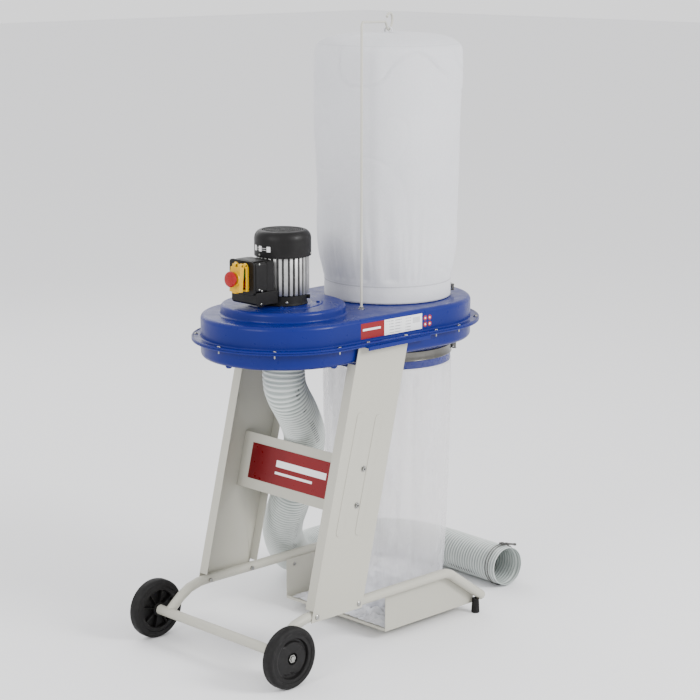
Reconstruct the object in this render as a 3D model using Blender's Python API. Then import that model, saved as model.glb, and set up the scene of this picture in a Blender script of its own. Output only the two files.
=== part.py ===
"""Mobile dust collector: a fan housing on a wheeled sheet-metal stand, with a filter bag above
it, a collection bag below it and a suction hose. Metres, +Z up, +X towards the bag end, -Y the
near side; the origin is on the floor under the middle of the stand."""

import math

import bmesh
import bpy
from mathutils import Matrix, Vector

# Driving dimensions
FAN_X = -0.154  # axis of the fan, the motor and the inlet
BAG_X = 0.206  # axis of both bags
GAP = 0.0003  # clearance between faces that touch
SIDES = (("near", -1), ("far", 1))

# Fan housing: two pressed shells bolted together at a flange
FAN_WALL_R = 0.2006
BAG_WALL_R = 0.2120
FAN_FLANGE_R = 0.2230
BAG_FLANGE_R = 0.2380
SHEET = 0.0020
FLANGE_T = 0.0025
FLANGE_Z = 0.7786
HOUSING_TOP_Z = 0.8368
HOUSING_BOTTOM_Z = 0.7330
EDGE_ROUND = 0.0110
DISC_R = 0.1520
DISC_TOP_Z = 0.8610
INLET_R = 0.0484
INLET_BOTTOM_Z = 0.7000
BAG_STEPS = 40  # sides of the collars, straps and bags, which nest in each other
UPPER_COLLAR_R = 0.1565
UPPER_COLLAR_TOP_Z = 0.8800
LOWER_COLLAR_R = 0.1620
LOWER_COLLAR_BOTTOM_Z = 0.6730

# Stand
AXLE_X = -0.369
WHEEL_R = 0.0750
WHEEL_OUTER_Y = 0.2626
WHEEL_INNER_Y = 0.2316
TUBE_R = 0.0125
TUBE_WALL = 0.0015
RAIL_Y = 0.1954
RAIL_Z = 0.1340
RAIL_END = (0.3620, 0.0420)
PANEL_SLOPE = 0.245  # the side panels lean towards the bags by this much per metre of height
PANEL_FRONT_X = -0.262  # front edge at the panel's bottom
PANEL_BOTTOM_Z = 0.1220
PANEL_TOP_Z = 0.7745
PANEL_WIDTH = 0.1700
PANEL_INNER_Y = 0.2082
PANEL_FLANGE = 0.0280
PANEL_FLANGE_Z = (0.1500, 0.7310)
CROSS_BOTTOM_Z = 0.3570
CROSS_TOP_Z = 0.4940
CROSS_FACE_X = -0.0961  # front face at the cross panel's top
CROSS_DEPTH = 0.0280
TRAY_X = (0.0180, 0.3440)
TRAY_Z = 0.0240
TRAY_T = 0.0015
TRAY_HALF = 0.1827
FOOT_X = 0.3400

# Bags and the rod that holds the filter bag up
FILTER_HEM_R = 0.1612
FILTER_R = 0.1845
FILTER_T = 0.0015
FILM_T = 0.0012
COLLECTION_R = 0.1660
ROD_FOOT = (0.0100, -0.1040)
ROD_R = 0.0031
ROD_TOP_Z = 1.5290
ROD_SPLIT_Z = 1.5140

# Motor and switch
SHIELD_R = 0.0560
FRAME_R = 0.0600
FIN_R = 0.0640
FIN_COUNT = 32
COWL_R = 0.0690
SHAFT_R = 0.0090
IMPELLER_R = 0.1450
BLADE_COUNT = 8
SWITCH_Y = -0.0090
FLAP_HINGE = (-0.3010, 0.9735)
FLAP_REST_DEG = 4.5

# Suction hose: 100 mm bore, from the inlet to its open mouth on the floor
HOSE_R = 0.0532
HOSE_WALL = 0.0020
HOSE_SPACING = 0.0450
HOSE_ROUTE = (
    (-0.154, 0.000, 0.7323),
    (-0.154, 0.000, 0.7060),
    (-0.1535, 0.000, 0.6780),
    (-0.1475, 0.002, 0.6500),
    (-0.129, 0.008, 0.6200),
    (-0.091, 0.024, 0.5780),
    (-0.047, 0.050, 0.5300),
    (-0.022, 0.068, 0.4960),
    (-0.0115, 0.082, 0.4600),
    (-0.0095, 0.099, 0.4060),
    (-0.006, 0.125, 0.3500),
    (0.013, 0.166, 0.2890),
    (0.034, 0.207, 0.2390),
    (0.067, 0.250, 0.1860),
    (0.114, 0.292, 0.1350),
    (0.164, 0.330, 0.0930),
    (0.215, 0.366, 0.0655),
    (0.275, 0.386, 0.0545),
    (0.335, 0.391, 0.0538),
    (0.400, 0.388, 0.0536),
    (0.465, 0.369, 0.0536),
    (0.520, 0.330, 0.0536),
    (0.556, 0.275, 0.0536),
    (0.574, 0.205, 0.0536),
    (0.576, 0.125, 0.0538),
    (0.569, 0.030, 0.0545),
    (0.562, -0.050, 0.0558),
    (0.5565, -0.116, 0.0572),
)

# Bolts and pressed beads of the stand, as (x, z) points
RAIL_BOLTS = ((-0.243, RAIL_Z), (-0.103, RAIL_Z))
CROSS_BOLTS = ((-0.088, 0.472), (-0.111, 0.385))
PANEL_BEADS = (((-0.170, 0.328), (-0.099, 0.603)), ((-0.106, 0.319), (-0.038, 0.588)))
BEAD_WIDTH = 0.0200
BOLT_R = 0.0030

# Straps of the two bags, and the bearing of their buckles
FILTER_BAND_Z = 0.8560
COLLECTION_BAND_Z = 0.7050
FILTER_BUCKLE_DEG = -38.0
COLLECTION_BUCKLE_DEG = -38.0

# colour, roughness, metallic
FINISHES = {
    "blue_paint": ((0.012, 0.038, 0.235), 0.28, 0.0),
    "grey_paint": ((0.560, 0.555, 0.500), 0.45, 0.0),
    "white_paint": ((0.720, 0.715, 0.680), 0.40, 0.0),
    "sign_red": ((0.420, 0.025, 0.030), 0.35, 0.0),
    "zinc": ((0.620, 0.620, 0.600), 0.30, 1.0),
    "steel": ((0.480, 0.480, 0.470), 0.38, 1.0),
    "cast_aluminium": ((0.660, 0.660, 0.650), 0.42, 1.0),
    "copper_core": ((0.300, 0.180, 0.100), 0.50, 1.0),
    "black_plastic": ((0.020, 0.020, 0.022), 0.40, 0.0),
    "black_rubber": ((0.014, 0.014, 0.015), 0.75, 0.0),
    "yellow_plastic": ((0.900, 0.560, 0.030), 0.35, 0.0),
    "red_plastic": ((0.700, 0.030, 0.035), 0.35, 0.0),
    "green_plastic": ((0.030, 0.330, 0.080), 0.35, 0.0),
    "white_felt": ((0.780, 0.790, 0.800), 0.90, 0.0),
    "clear_film": ((0.860, 0.870, 0.890), 0.20, 0.0),
    "hose_plastic": ((0.690, 0.740, 0.710), 0.35, 0.0),
}
SMOOTH_ANGLE = math.radians(32)
AXIS_TURNS = {
    "Z": Matrix.Identity(4),
    "X": Matrix.Rotation(math.pi / 2, 4, "Y"),
    "Y": Matrix.Rotation(-math.pi / 2, 4, "X"),
}


def clear_scene():
    for obj in list(bpy.data.objects):
        bpy.data.objects.remove(obj)


def finish(name):
    """The material of this name, made the first time that it is asked for."""
    if name in bpy.data.materials:
        return bpy.data.materials[name]
    colour, roughness, metallic = FINISHES[name]
    material = bpy.data.materials.new(name)
    material.use_nodes = True
    shader = material.node_tree.nodes["Principled BSDF"]
    shader.inputs["Base Color"].default_value = (*colour, 1.0)
    shader.inputs["Roughness"].default_value = roughness
    shader.inputs["Metallic"].default_value = metallic
    return material


def build(name, shape, look, at=(0, 0, 0), axis="Z"):
    """A new object from (points, faces), with its faces pointing out."""
    points, faces = shape
    mesh = bpy.data.meshes.new(name)
    mesh.from_pydata([AXIS_TURNS[axis] @ Vector(p) for p in points], [], faces)
    work = bmesh.new()
    work.from_mesh(mesh)
    bmesh.ops.recalc_face_normals(work, faces=work.faces)
    work.to_mesh(mesh)
    work.free()
    mesh.materials.append(finish(look))
    mesh.shade_smooth()
    mesh.set_sharp_from_angle(angle=SMOOTH_ANGLE)
    obj = bpy.data.objects.new(name, mesh)
    obj.location = at
    bpy.context.scene.collection.objects.link(obj)
    return obj


def combine(obj, operation, name, shape, at=(0, 0, 0), axis="Z"):
    """Adds or cuts a helper shape by a Boolean; the helper itself is not part of the model."""
    helper = build(name, shape, obj.data.materials[0].name, at, axis)
    helper.hide_render = True
    helper.display_type = "WIRE"
    step = obj.modifiers.new(name, "BOOLEAN")
    step.operation = operation
    step.object = helper
    return helper


def turned(profile, steps=32):
    """A closed profile of (radius, height) points, turned about Z."""
    points, faces, rings = [], [], []
    for radius, height in profile:
        start = len(points)
        if radius == 0:
            points.append((0, 0, height))
            rings.append([start] * steps)
            continue
        for i in range(steps):
            turn = math.tau * i / steps
            points.append((radius * math.cos(turn), radius * math.sin(turn), height))
        rings.append(list(range(start, start + steps)))
    for ring, following in zip(rings, rings[1:] + rings[:1]):
        for i in range(steps):
            j = (i + 1) % steps
            corners = list(dict.fromkeys((ring[i], ring[j], following[j], following[i])))
            if len(corners) > 2:
                faces.append(corners)
    return points, faces


def pipe(outer, inner, low, high, steps=32):
    return turned(((outer, low), (outer, high), (inner, high), (inner, low)), steps)


def hexagon_bore(shaft_r):
    """The corner radius of a six-sided hole whose flats clear a round shaft."""
    return (shaft_r + GAP) / math.cos(math.pi / 6)


def rod(radius, low, high, steps=16):
    return turned(((0, low), (radius, low), (radius, high), (0, high)), steps)


def stacked(loops):
    """Loops of equal length joined one above the other, closed at both ends."""
    count = len(loops[0])
    points = [point for loop in loops for point in loop]
    faces = [list(range(count))[::-1], list(range(len(points) - count, len(points)))]
    for level in range(len(loops) - 1):
        for i in range(count):
            j = (i + 1) % count
            low, high = level * count, (level + 1) * count
            faces.append((low + i, low + j, high + j, high + i))
    return points, faces


def prism(outline, low, high, slope=0.0, rest=0.0):
    """An (x, y) outline pulled up Z, leaning along X by slope, true at the height rest."""
    return stacked([[(x + slope * (z - rest), y, z) for x, y in outline] for z in (low, high)])


def side_prism(outline, low, high):
    """An (x, z) outline pulled along Y."""
    return stacked([[(x, y, z) for x, z in outline] for y in (low, high)])


def block(low, high):
    corners = ((low[0], low[1]), (high[0], low[1]), (high[0], high[1]), (low[0], high[1]))
    return prism(corners, low[2], high[2])


def rounded_box(low, high, radius, along="X", corner_steps=3):
    """A box with its four edges along X or Z rounded."""
    names = "XYZ"
    across = [i for i in range(3) if names[i] != along]
    main = names.index(along)
    lowest = [low[i] + radius for i in across]
    highest = [high[i] - radius for i in across]
    outline = []
    for quarter, centre in enumerate(
        (
            (highest[0], highest[1]),
            (lowest[0], highest[1]),
            (lowest[0], lowest[1]),
            (highest[0], lowest[1]),
        )
    ):
        for step in range(corner_steps + 1):
            turn = (quarter + step / corner_steps) * math.pi / 2
            outline.append(
                (centre[0] + radius * math.cos(turn), centre[1] + radius * math.sin(turn))
            )
    loops = []
    for end in (low[main], high[main]):
        loop = []
        for pair in outline:
            point = [0, 0, 0]
            point[main] = end
            point[across[0]], point[across[1]] = pair
            loop.append(tuple(point))
        loops.append(loop)
    return stacked(loops)


def two_lobe(fan_r, bag_r, fan_steps=22, bag_steps=22):
    """The outline of a belt round the fan's circle and the bags' circle, as (x, y) points."""
    tangent = math.acos((fan_r - bag_r) / (BAG_X - FAN_X))
    outline = []
    for i in range(bag_steps + 1):
        turn = tangent * (2 * i / bag_steps - 1)
        outline.append((BAG_X + bag_r * math.cos(turn), bag_r * math.sin(turn)))
    for i in range(fan_steps + 1):
        turn = tangent + (math.tau - 2 * tangent) * i / fan_steps
        outline.append((FAN_X + fan_r * math.cos(turn), fan_r * math.sin(turn)))
    return outline


def wall(inset=0.0):
    """The two radii of the housing's wall, moved in by the inset."""
    return FAN_WALL_R - inset, BAG_WALL_R - inset


def lobe_levels(levels):
    """A solid of two-lobe sections; each level is (the two radii, height)."""
    return stacked([[(x, y, z) for x, y in two_lobe(*radii)] for radii, z in levels])


def smooth_route(route, spacing, extra=12):
    """Evenly spaced points on a smooth curve through the route's points."""
    ends = [Vector(p) for p in route]
    ends = [2 * ends[0] - ends[1], *ends, 2 * ends[-1] - ends[-2]]
    fine = []
    for a, b, c, d in zip(ends, ends[1:], ends[2:], ends[3:]):
        for step in range(extra):
            t = step / extra
            fine.append(
                0.5 * (2 * b + (c - a) * t + (2 * a - 5 * b + 4 * c - d) * t * t)
                + 0.5 * (3 * b - a - 3 * c + d) * t ** 3
            )
    fine.append(ends[-2])
    lengths = [0.0]
    for a, b in zip(fine, fine[1:]):
        lengths.append(lengths[-1] + (b - a).length)
    count = max(2, round(lengths[-1] / spacing))
    points, place = [], 0
    for i in range(count + 1):
        target = lengths[-1] * i / count
        while place < len(fine) - 2 and lengths[place + 1] < target:
            place += 1
        share = (target - lengths[place]) / (lengths[place + 1] - lengths[place])
        points.append(fine[place].lerp(fine[place + 1], share))
    return points


def swept(path, radius, sides=12, bore=0.0, plugged=False):
    """A round bar, or a tube when it has a bore, along a path. A plugged tube's far end is shut."""
    path = [Vector(p) for p in path]
    tangents = []
    for i in range(len(path)):
        before, after = path[max(i - 1, 0)], path[min(i + 1, len(path) - 1)]
        tangents.append((after - before).normalized())
    across = tangents[0].orthogonal().normalized()
    skins = [[], []]
    for i, (centre, tangent) in enumerate(zip(path, tangents)):
        across = (across - tangent * across.dot(tangent)).normalized()
        other = tangent.cross(across)
        last = i == len(path) - 1
        for skin, size in zip(skins, (radius, bore)):
            middle = centre
            if last and plugged and size == bore:
                middle = centre - tangent * (radius - bore)
            ring = []
            for k in range(sides):
                turn = math.tau * k / sides
                ring.append(middle + size * (math.cos(turn) * across + math.sin(turn) * other))
            skin.append(ring)
    points, faces = stacked(skins[0])
    if not bore:
        return points, faces
    start = len(points)
    inner_points, inner_faces = stacked(skins[1])
    points = points + inner_points
    inner_faces = [[start + i for i in face][::-1] for face in inner_faces]
    end = start - sides
    inner_end = len(points) - sides
    for k in range(sides):
        j = (k + 1) % sides
        faces.append((k, start + k, start + j, j))
        if not plugged:
            faces.append((end + k, end + j, inner_end + j, inner_end + k))
    if plugged:
        return points, faces[1:] + inner_faces[1:]
    return points, faces[2:] + inner_faces[2:]


def make_housing():
    """The upper and the lower shell, with the motor's disc, the inlet and both bag collars."""
    rounding = []
    for step in range(4):
        turn = step / 3 * math.pi / 2
        rounding.append((EDGE_ROUND * (1 - math.cos(turn)), EDGE_ROUND * (1 - math.sin(turn))))
    flange = (FAN_FLANGE_R, BAG_FLANGE_R)
    seam = FLANGE_Z + GAP
    walls = [(flange, seam), (flange, seam + FLANGE_T), (wall(), seam + FLANGE_T)]
    walls += [(wall(inset), HOUSING_TOP_Z - drop) for inset, drop in rounding]
    inside = [(wall(SHEET), seam - SHEET)]
    inside += [(wall(SHEET + inset), HOUSING_TOP_Z - SHEET - drop) for inset, drop in rounding]
    upper = build("upper_housing", lobe_levels(walls), "blue_paint")
    disc = (
        (0, HOUSING_TOP_Z - SHEET / 2),
        (DISC_R, HOUSING_TOP_Z - SHEET / 2),
        (DISC_R, DISC_TOP_Z - 0.008),
        (DISC_R - 0.003, DISC_TOP_Z - 0.003),
        (DISC_R - 0.010, DISC_TOP_Z),
        (0, DISC_TOP_Z),
    )
    combine(upper, "UNION", "raised_disc", turned(disc, 48), (FAN_X, 0, 0))
    collar = rod(UPPER_COLLAR_R, HOUSING_TOP_Z - SHEET / 2, UPPER_COLLAR_TOP_Z, BAG_STEPS)
    combine(upper, "UNION", "upper_collar", collar, (BAG_X, 0, 0))
    combine(upper, "DIFFERENCE", "upper_hollow", lobe_levels(inside))
    under_disc = (
        (0, HOUSING_TOP_Z - 0.012),
        (DISC_R - SHEET, HOUSING_TOP_Z - 0.012),
        (DISC_R - SHEET, DISC_TOP_Z - 0.009),
        (DISC_R - 0.011, DISC_TOP_Z - SHEET),
        (0, DISC_TOP_Z - SHEET),
    )
    combine(upper, "DIFFERENCE", "disc_hollow", turned(under_disc, 48), (FAN_X, 0, 0))
    mouth = rod(UPPER_COLLAR_R - SHEET, HOUSING_TOP_Z - 0.012, UPPER_COLLAR_TOP_Z + 0.002, BAG_STEPS)
    combine(upper, "DIFFERENCE", "upper_mouth", mouth, (BAG_X, 0, 0))
    shaft_hole = rod(0.0200, DISC_TOP_Z - 0.02, DISC_TOP_Z + 0.02, 24)
    combine(upper, "DIFFERENCE", "shaft_hole", shaft_hole, (FAN_X, 0, 0))
    rod_hole = rod(ROD_R + 0.0005, HOUSING_TOP_Z - 0.02, HOUSING_TOP_Z + 0.02, 8)
    combine(upper, "DIFFERENCE", "rod_hole", rod_hole, (*ROD_FOOT, 0))

    seam = FLANGE_Z - GAP
    rounding.reverse()
    walls = [(wall(inset), HOUSING_BOTTOM_Z + drop) for inset, drop in rounding]
    walls += [(wall(), seam - FLANGE_T), (flange, seam - FLANGE_T), (flange, seam)]
    inside = [(wall(SHEET + inset), HOUSING_BOTTOM_Z + SHEET + drop) for inset, drop in rounding]
    inside.append((wall(SHEET), seam + SHEET))
    lower = build("lower_housing", lobe_levels(walls), "blue_paint")
    collar = rod(LOWER_COLLAR_R, LOWER_COLLAR_BOTTOM_Z, HOUSING_BOTTOM_Z + SHEET / 2, BAG_STEPS)
    combine(lower, "UNION", "lower_collar", collar, (BAG_X, 0, 0))
    spigot = rod(INLET_R, INLET_BOTTOM_Z, HOUSING_BOTTOM_Z + SHEET / 2, 32)
    combine(lower, "UNION", "inlet_spigot", spigot, (FAN_X, 0, 0))
    combine(lower, "DIFFERENCE", "lower_hollow", lobe_levels(inside))
    low, high = LOWER_COLLAR_BOTTOM_Z - SHEET, HOUSING_BOTTOM_Z + 0.012
    mouth = rod(LOWER_COLLAR_R - SHEET, low, high, BAG_STEPS)
    combine(lower, "DIFFERENCE", "lower_mouth", mouth, (BAG_X, 0, 0))
    bore = rod(INLET_R - SHEET, INLET_BOTTOM_Z - SHEET, HOUSING_BOTTOM_Z + 0.012, 32)
    combine(lower, "DIFFERENCE", "inlet_bore", bore, (FAN_X, 0, 0))


def make_volute():
    """The curved strip inside the housing that guides the air round the impeller."""
    steps, first, last, radius, thickness = 24, 50, 310, 0.172, 0.0015
    outer, inner = [], []
    for i in range(steps + 1):
        turn = math.radians(first + (last - first) * i / steps)
        for ring, size in ((outer, radius + thickness), (inner, radius)):
            ring.append((size * math.cos(turn), size * math.sin(turn)))
    low = HOUSING_BOTTOM_Z + SHEET + GAP
    high = HOUSING_TOP_Z - SHEET - GAP
    build("volute_strip", prism(outer + inner[::-1], low, high), "steel", (FAN_X, 0, 0))


def make_brackets():
    """The strip under the flange that ties each side panel's top edge to the housing."""
    top = FLANGE_Z - GAP - FLANGE_T - GAP
    section = (
        (0.2105, top - 0.0035),
        (0.2310, top - 0.0035),
        (0.2310, top - 0.0095),
        (0.2340, top - 0.0095),
        (0.2340, top),
        (0.2105, top),
    )
    for side, sign in SIDES:
        loops = [[(x, sign * y, z) for y, z in section] for x in (-0.0920, 0.1210)]
        build(f"housing_bracket_{side}", stacked(loops), "blue_paint")


def bead(centre_low, centre_high, width, y_low, y_high):
    """A long pressed bead with round ends, between two (x, z) centres."""
    low, high = Vector(centre_low), Vector(centre_high)
    heading = math.atan2(high.y - low.y, high.x - low.x)
    outline = []
    for end, start in ((high, heading - math.pi / 2), (low, heading + math.pi / 2)):
        for step in range(7):
            turn = start + math.pi * step / 6
            outline.append(
                (end.x + width / 2 * math.cos(turn), end.y + width / 2 * math.sin(turn))
            )
    return side_prism(outline, y_low, y_high)



def make_side_panels():
    outer = PANEL_INNER_Y + SHEET
    for side, sign in SIDES:
        web = [(PANEL_FRONT_X + GAP, sign * PANEL_INNER_Y)]
        web.append((PANEL_FRONT_X + PANEL_WIDTH - GAP, sign * PANEL_INNER_Y))
        web.append((PANEL_FRONT_X + PANEL_WIDTH - GAP, sign * outer))
        web.append((PANEL_FRONT_X + GAP, sign * outer))
        shape = prism(web, PANEL_BOTTOM_Z, PANEL_TOP_Z, PANEL_SLOPE, PANEL_BOTTOM_Z)
        panel = build(f"side_panel_{side}", shape, "grey_paint")
        for edge, x in (("front", PANEL_FRONT_X), ("rear", PANEL_FRONT_X + PANEL_WIDTH - SHEET)):
            flange = [(x, sign * (outer - PANEL_FLANGE)), (x + SHEET, sign * (outer - PANEL_FLANGE))]
            flange += [(x + SHEET, sign * (outer - GAP)), (x, sign * (outer - GAP))]
            shape = prism(flange, *PANEL_FLANGE_Z, PANEL_SLOPE, PANEL_BOTTOM_Z)
            combine(panel, "UNION", f"{edge}_flange_{side}", shape)
        for number, (low, high) in enumerate(PANEL_BEADS):
            shape = bead(low, high, BEAD_WIDTH, sign * (outer - GAP), sign * (outer + 0.0015))
            combine(panel, "UNION", f"bead_{number}_{side}", shape)
        for number, (x, z) in enumerate(RAIL_BOLTS + CROSS_BOLTS):
            hole = rod(BOLT_R + 0.0004, sign * 0.205, sign * 0.214, 12)
            combine(panel, "DIFFERENCE", f"panel_hole_{number}_{side}", hole, (x, 0, z), "Y")


def make_rails():
    """The two bent tubes of the stand and the tube between the wheels that they are welded to."""
    front = ((-0.369, 0.075), (-0.352, 0.0905), (-0.330, 0.108), (-0.302, 0.1245), (-0.270, 0.1325))
    rear = ((0.205, RAIL_Z), (0.224, 0.1325), (0.241, 0.1262), RAIL_END)
    path = front + ((-0.240, RAIL_Z),) + rear
    for side, sign in SIDES:
        points = [(x, sign * RAIL_Y, z) for x, z in path]
        shape = swept(points, TUBE_R, 12, TUBE_R - TUBE_WALL, True)
        rail = build(f"rail_{side}", shape, "grey_paint")
        notch = rod(TUBE_R + GAP, -0.24, 0.24, 16)
        combine(rail, "DIFFERENCE", f"axle_notch_{side}", notch, (AXLE_X, 0, WHEEL_R), "Y")
        for number, (x, z) in enumerate(RAIL_BOLTS):
            hole = rod(BOLT_R + 0.0004, -0.22, 0.22, 12)
            combine(rail, "DIFFERENCE", f"rail_hole_{number}_{side}", hole, (x, 0, z), "Y")
    half = WHEEL_INNER_Y - 0.0016
    tube = pipe(TUBE_R, 0.0075, -half, half, 16)
    build("axle_tube", tube, "grey_paint", (AXLE_X, 0, WHEEL_R), "Y")


def make_cross_panel():
    """The folded sheet between the side panels, leaning as they do, and the plate on its face."""
    half = PANEL_INNER_Y - GAP
    thickness = 0.0015

    def section(z, front, back):
        x = CROSS_FACE_X + PANEL_SLOPE * (z - CROSS_TOP_Z)
        return (x + front, z), (x + back, z)

    low, high = CROSS_BOTTOM_Z, CROSS_TOP_Z
    face = section(low, 0, thickness) + section(high, 0, thickness)[::-1]
    inner = half - thickness / 2
    panel = build("cross_panel", side_prism(face, -inner, inner), "grey_paint")
    for side, sign in SIDES:
        end = section(low + GAP, GAP, CROSS_DEPTH) + section(high - GAP, GAP, CROSS_DEPTH)[::-1]
        shape = side_prism(end, sign * (half - thickness), sign * half)
        combine(panel, "UNION", f"end_flange_{side}", shape)
        for number, (x, z) in enumerate(CROSS_BOLTS):
            hole = rod(BOLT_R + 0.0004, sign * 0.200, sign * 0.214, 12)
            combine(panel, "DIFFERENCE", f"cross_hole_{number}_{side}", hole, (x, 0, z), "Y")
    plate = section(0.383, -0.0013, -GAP) + section(0.471, -0.0013, -GAP)[::-1]
    build("sign_plate", side_prism(plate, -0.171, 0.171), "sign_red")


def bolt_profile(head_y, nut_y):
    """A screw with a domed head outside at head_y and a nut that ends at nut_y, along one axis."""
    head, step = 0.0065, 0.0012
    return (
        (0, head_y + 0.0034),
        (0.6 * head, head_y + 0.0030),
        (head, head_y + step),
        (head, head_y),
        (BOLT_R, head_y),
        (BOLT_R, nut_y + 0.0048),
        (0.0055, nut_y + 0.0048),
        (0.0055, nut_y),
        (0, nut_y),
    )


def make_panel_bolts():
    """The bolts that hold the side panels to the rails, with their nuts."""
    head = PANEL_INNER_Y + SHEET + GAP
    nut = RAIL_Y - TUBE_R - GAP - 0.0048
    for side, sign in SIDES:
        profile = [(radius, sign * y) for radius, y in bolt_profile(head, nut)]
        for (x, z), end in zip(RAIL_BOLTS, ("front", "rear")):
            build(f"rail_bolt_{end}_{side}", turned(profile, 10), "zinc", (x, 0, z), "Y")


def make_tray():
    """The open trough that the collection bag stands in, between the rails."""
    x_low, x_high = TRAY_X
    floor = block(
        (x_low, -TRAY_HALF + GAP, TRAY_Z + 0.0001), (x_high, TRAY_HALF - GAP, TRAY_Z + TRAY_T)
    )
    tray = build("base_tray", floor, "grey_paint")
    wall = ((x_low, TRAY_Z), (x_high, TRAY_Z), (x_high, 0.0500), (0.2460, 0.1170), (0.2080, 0.1290))
    wall += ((x_low, 0.1290),)
    for side, sign in SIDES:
        shape = side_prism(wall, sign * (TRAY_HALF - TRAY_T), sign * (TRAY_HALF - GAP / 2))
        combine(tray, "UNION", f"tray_wall_{side}", shape)
    lip = block(
        (x_low + 0.0002, -TRAY_HALF + TRAY_T / 2, TRAY_Z + 0.0004),
        (x_low + TRAY_T, TRAY_HALF - TRAY_T / 2, TRAY_Z + 0.0070),
    )
    combine(tray, "UNION", "tray_lip", lip)


def make_feet():
    """Rubber feet under the rails' rear ends."""
    top = RAIL_Z - 0.1020
    profile = ((0, 0), (0.0100, 0), (0.0110, 0.002), (0.0090, top + 0.007), (0, top + 0.007))
    for side, sign in SIDES:
        foot = build(f"foot_{side}", turned(profile, 14), "black_rubber", (FOOT_X, sign * RAIL_Y, 0))
        points = [(x, sign * RAIL_Y, z) for x, z in ((0.241, 0.1262), RAIL_END, (0.400, 0.0157))]
        combine(foot, "DIFFERENCE", f"foot_saddle_{side}", swept(points, TUBE_R + GAP, 16))


def make_wheels():
    """The axle with its end nuts, and two wheels with rubber tyres."""
    axle = [(0, -0.2600), (0.0060, -0.2600), (0.0060, 0.2600), (0, 0.2600)]
    build("wheel_axle", turned(axle, 12), "zinc", (AXLE_X, 0, WHEEL_R), "Y")
    width = WHEEL_OUTER_Y - WHEEL_INNER_Y
    rim = (
        (0.0064, 0.0000),
        (0.0170, 0.0000),
        (0.0170, 0.0090),
        (0.0480, 0.0090),
        (0.0480, 0.0020),
        (0.0590, 0.0020),
        (0.0590, width - 0.0020),
        (0.0500, width - 0.0020),
        (0.0460, width - 0.0080),
        (0.0240, width - 0.0080),
        (0.0200, width - 0.0010),
        (0.0140, width - 0.0010),
        (0.0140, width - 0.0100),
        (0.0064, width - 0.0100),
    )
    tyre = (
        (0.0593, 0.0000),
        (0.0690, 0.0000),
        (0.0750, 0.0060),
        (0.0750, width - 0.0060),
        (0.0690, width),
        (0.0593, width),
    )
    nut_low = WHEEL_INNER_Y + width - 0.0097
    for side, sign in SIDES:
        at = (AXLE_X, sign * WHEEL_INNER_Y, WHEEL_R)
        shape = turned([(radius, sign * y) for radius, y in rim], 32)
        build(f"wheel_{side}", shape, "black_plastic", at, "Y")
        shape = turned([(radius, sign * y) for radius, y in tyre], 32)
        build(f"tyre_{side}", shape, "black_rubber", at, "Y")
        nut = pipe(0.0105, hexagon_bore(0.0060), sign * nut_low, sign * (nut_low + 0.0065), 6)
        build(f"axle_nut_{side}", nut, "zinc", (AXLE_X, 0, WHEEL_R), "Y")


def make_motor():
    """The motor stands on the housing's disc, shaft down through it."""
    at = (FAN_X, 0, 0)
    base = DISC_TOP_Z + GAP
    shield = (
        (0.0175, base + 0.0145),
        (0.0175, base + 0.0040),
        (0.0120, base + 0.0040),
        (0.0120, base),
        (0.0640, base),
        (0.0640, base + 0.0060),
        (SHIELD_R, base + 0.0080),
        (SHIELD_R, 0.8862),
        (0.0500, 0.8862),
        (0.0500, base + 0.0145),
    )
    build("motor_end_shield", turned(shield), "black_plastic", at)
    fins = []
    for i in range(FIN_COUNT):
        for share, size in ((0.00, FRAME_R), (0.32, FRAME_R), (0.42, FIN_R), (0.90, FIN_R)):
            turn = math.tau * (i + share) / FIN_COUNT
            fins.append((size * math.cos(turn), size * math.sin(turn)))
    housing = build("motor_housing", prism(fins, 0.8865, 0.9780), "cast_aluminium", at)
    combine(housing, "DIFFERENCE", "stator_bore", rod(0.0525, 0.87, 0.99, 32), at)
    top = (
        (0.0175, 0.9783),
        (0.0635, 0.9783),
        (0.0635, 0.9833),
        (0.0300, 0.9833),
        (0.0300, 0.9893),
        (0.0098, 0.9893),
        (0.0098, 0.9873),
        (0.0175, 0.9873),
    )
    build("motor_top_shield", turned(top, 24), "cast_aluminium", at)
    cowl = (
        (COWL_R - 0.002, 0.9780),
        (COWL_R, 0.9780),
        (COWL_R, 1.0270),
        (COWL_R - 0.003, 1.0350),
        (COWL_R - 0.010, 1.0400),
        (0, 1.0400),
        (0, 1.0380),
        (COWL_R - 0.011, 1.0380),
        (COWL_R - 0.005, 1.0335),
        (COWL_R - 0.002, 1.0260),
    )
    build("fan_cowl", turned(cowl), "black_plastic", at)
    build("motor_stator", pipe(0.0522, 0.0330, 0.8950, 0.9650, 24), "copper_core", at)
    build("lower_bearing", pipe(0.0172, SHAFT_R + GAP, base + 0.0043, base + 0.0140, 20), "steel", at)
    build("upper_bearing", pipe(0.0172, SHAFT_R + GAP, 0.9775, 0.9870, 20), "steel", at)


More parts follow.
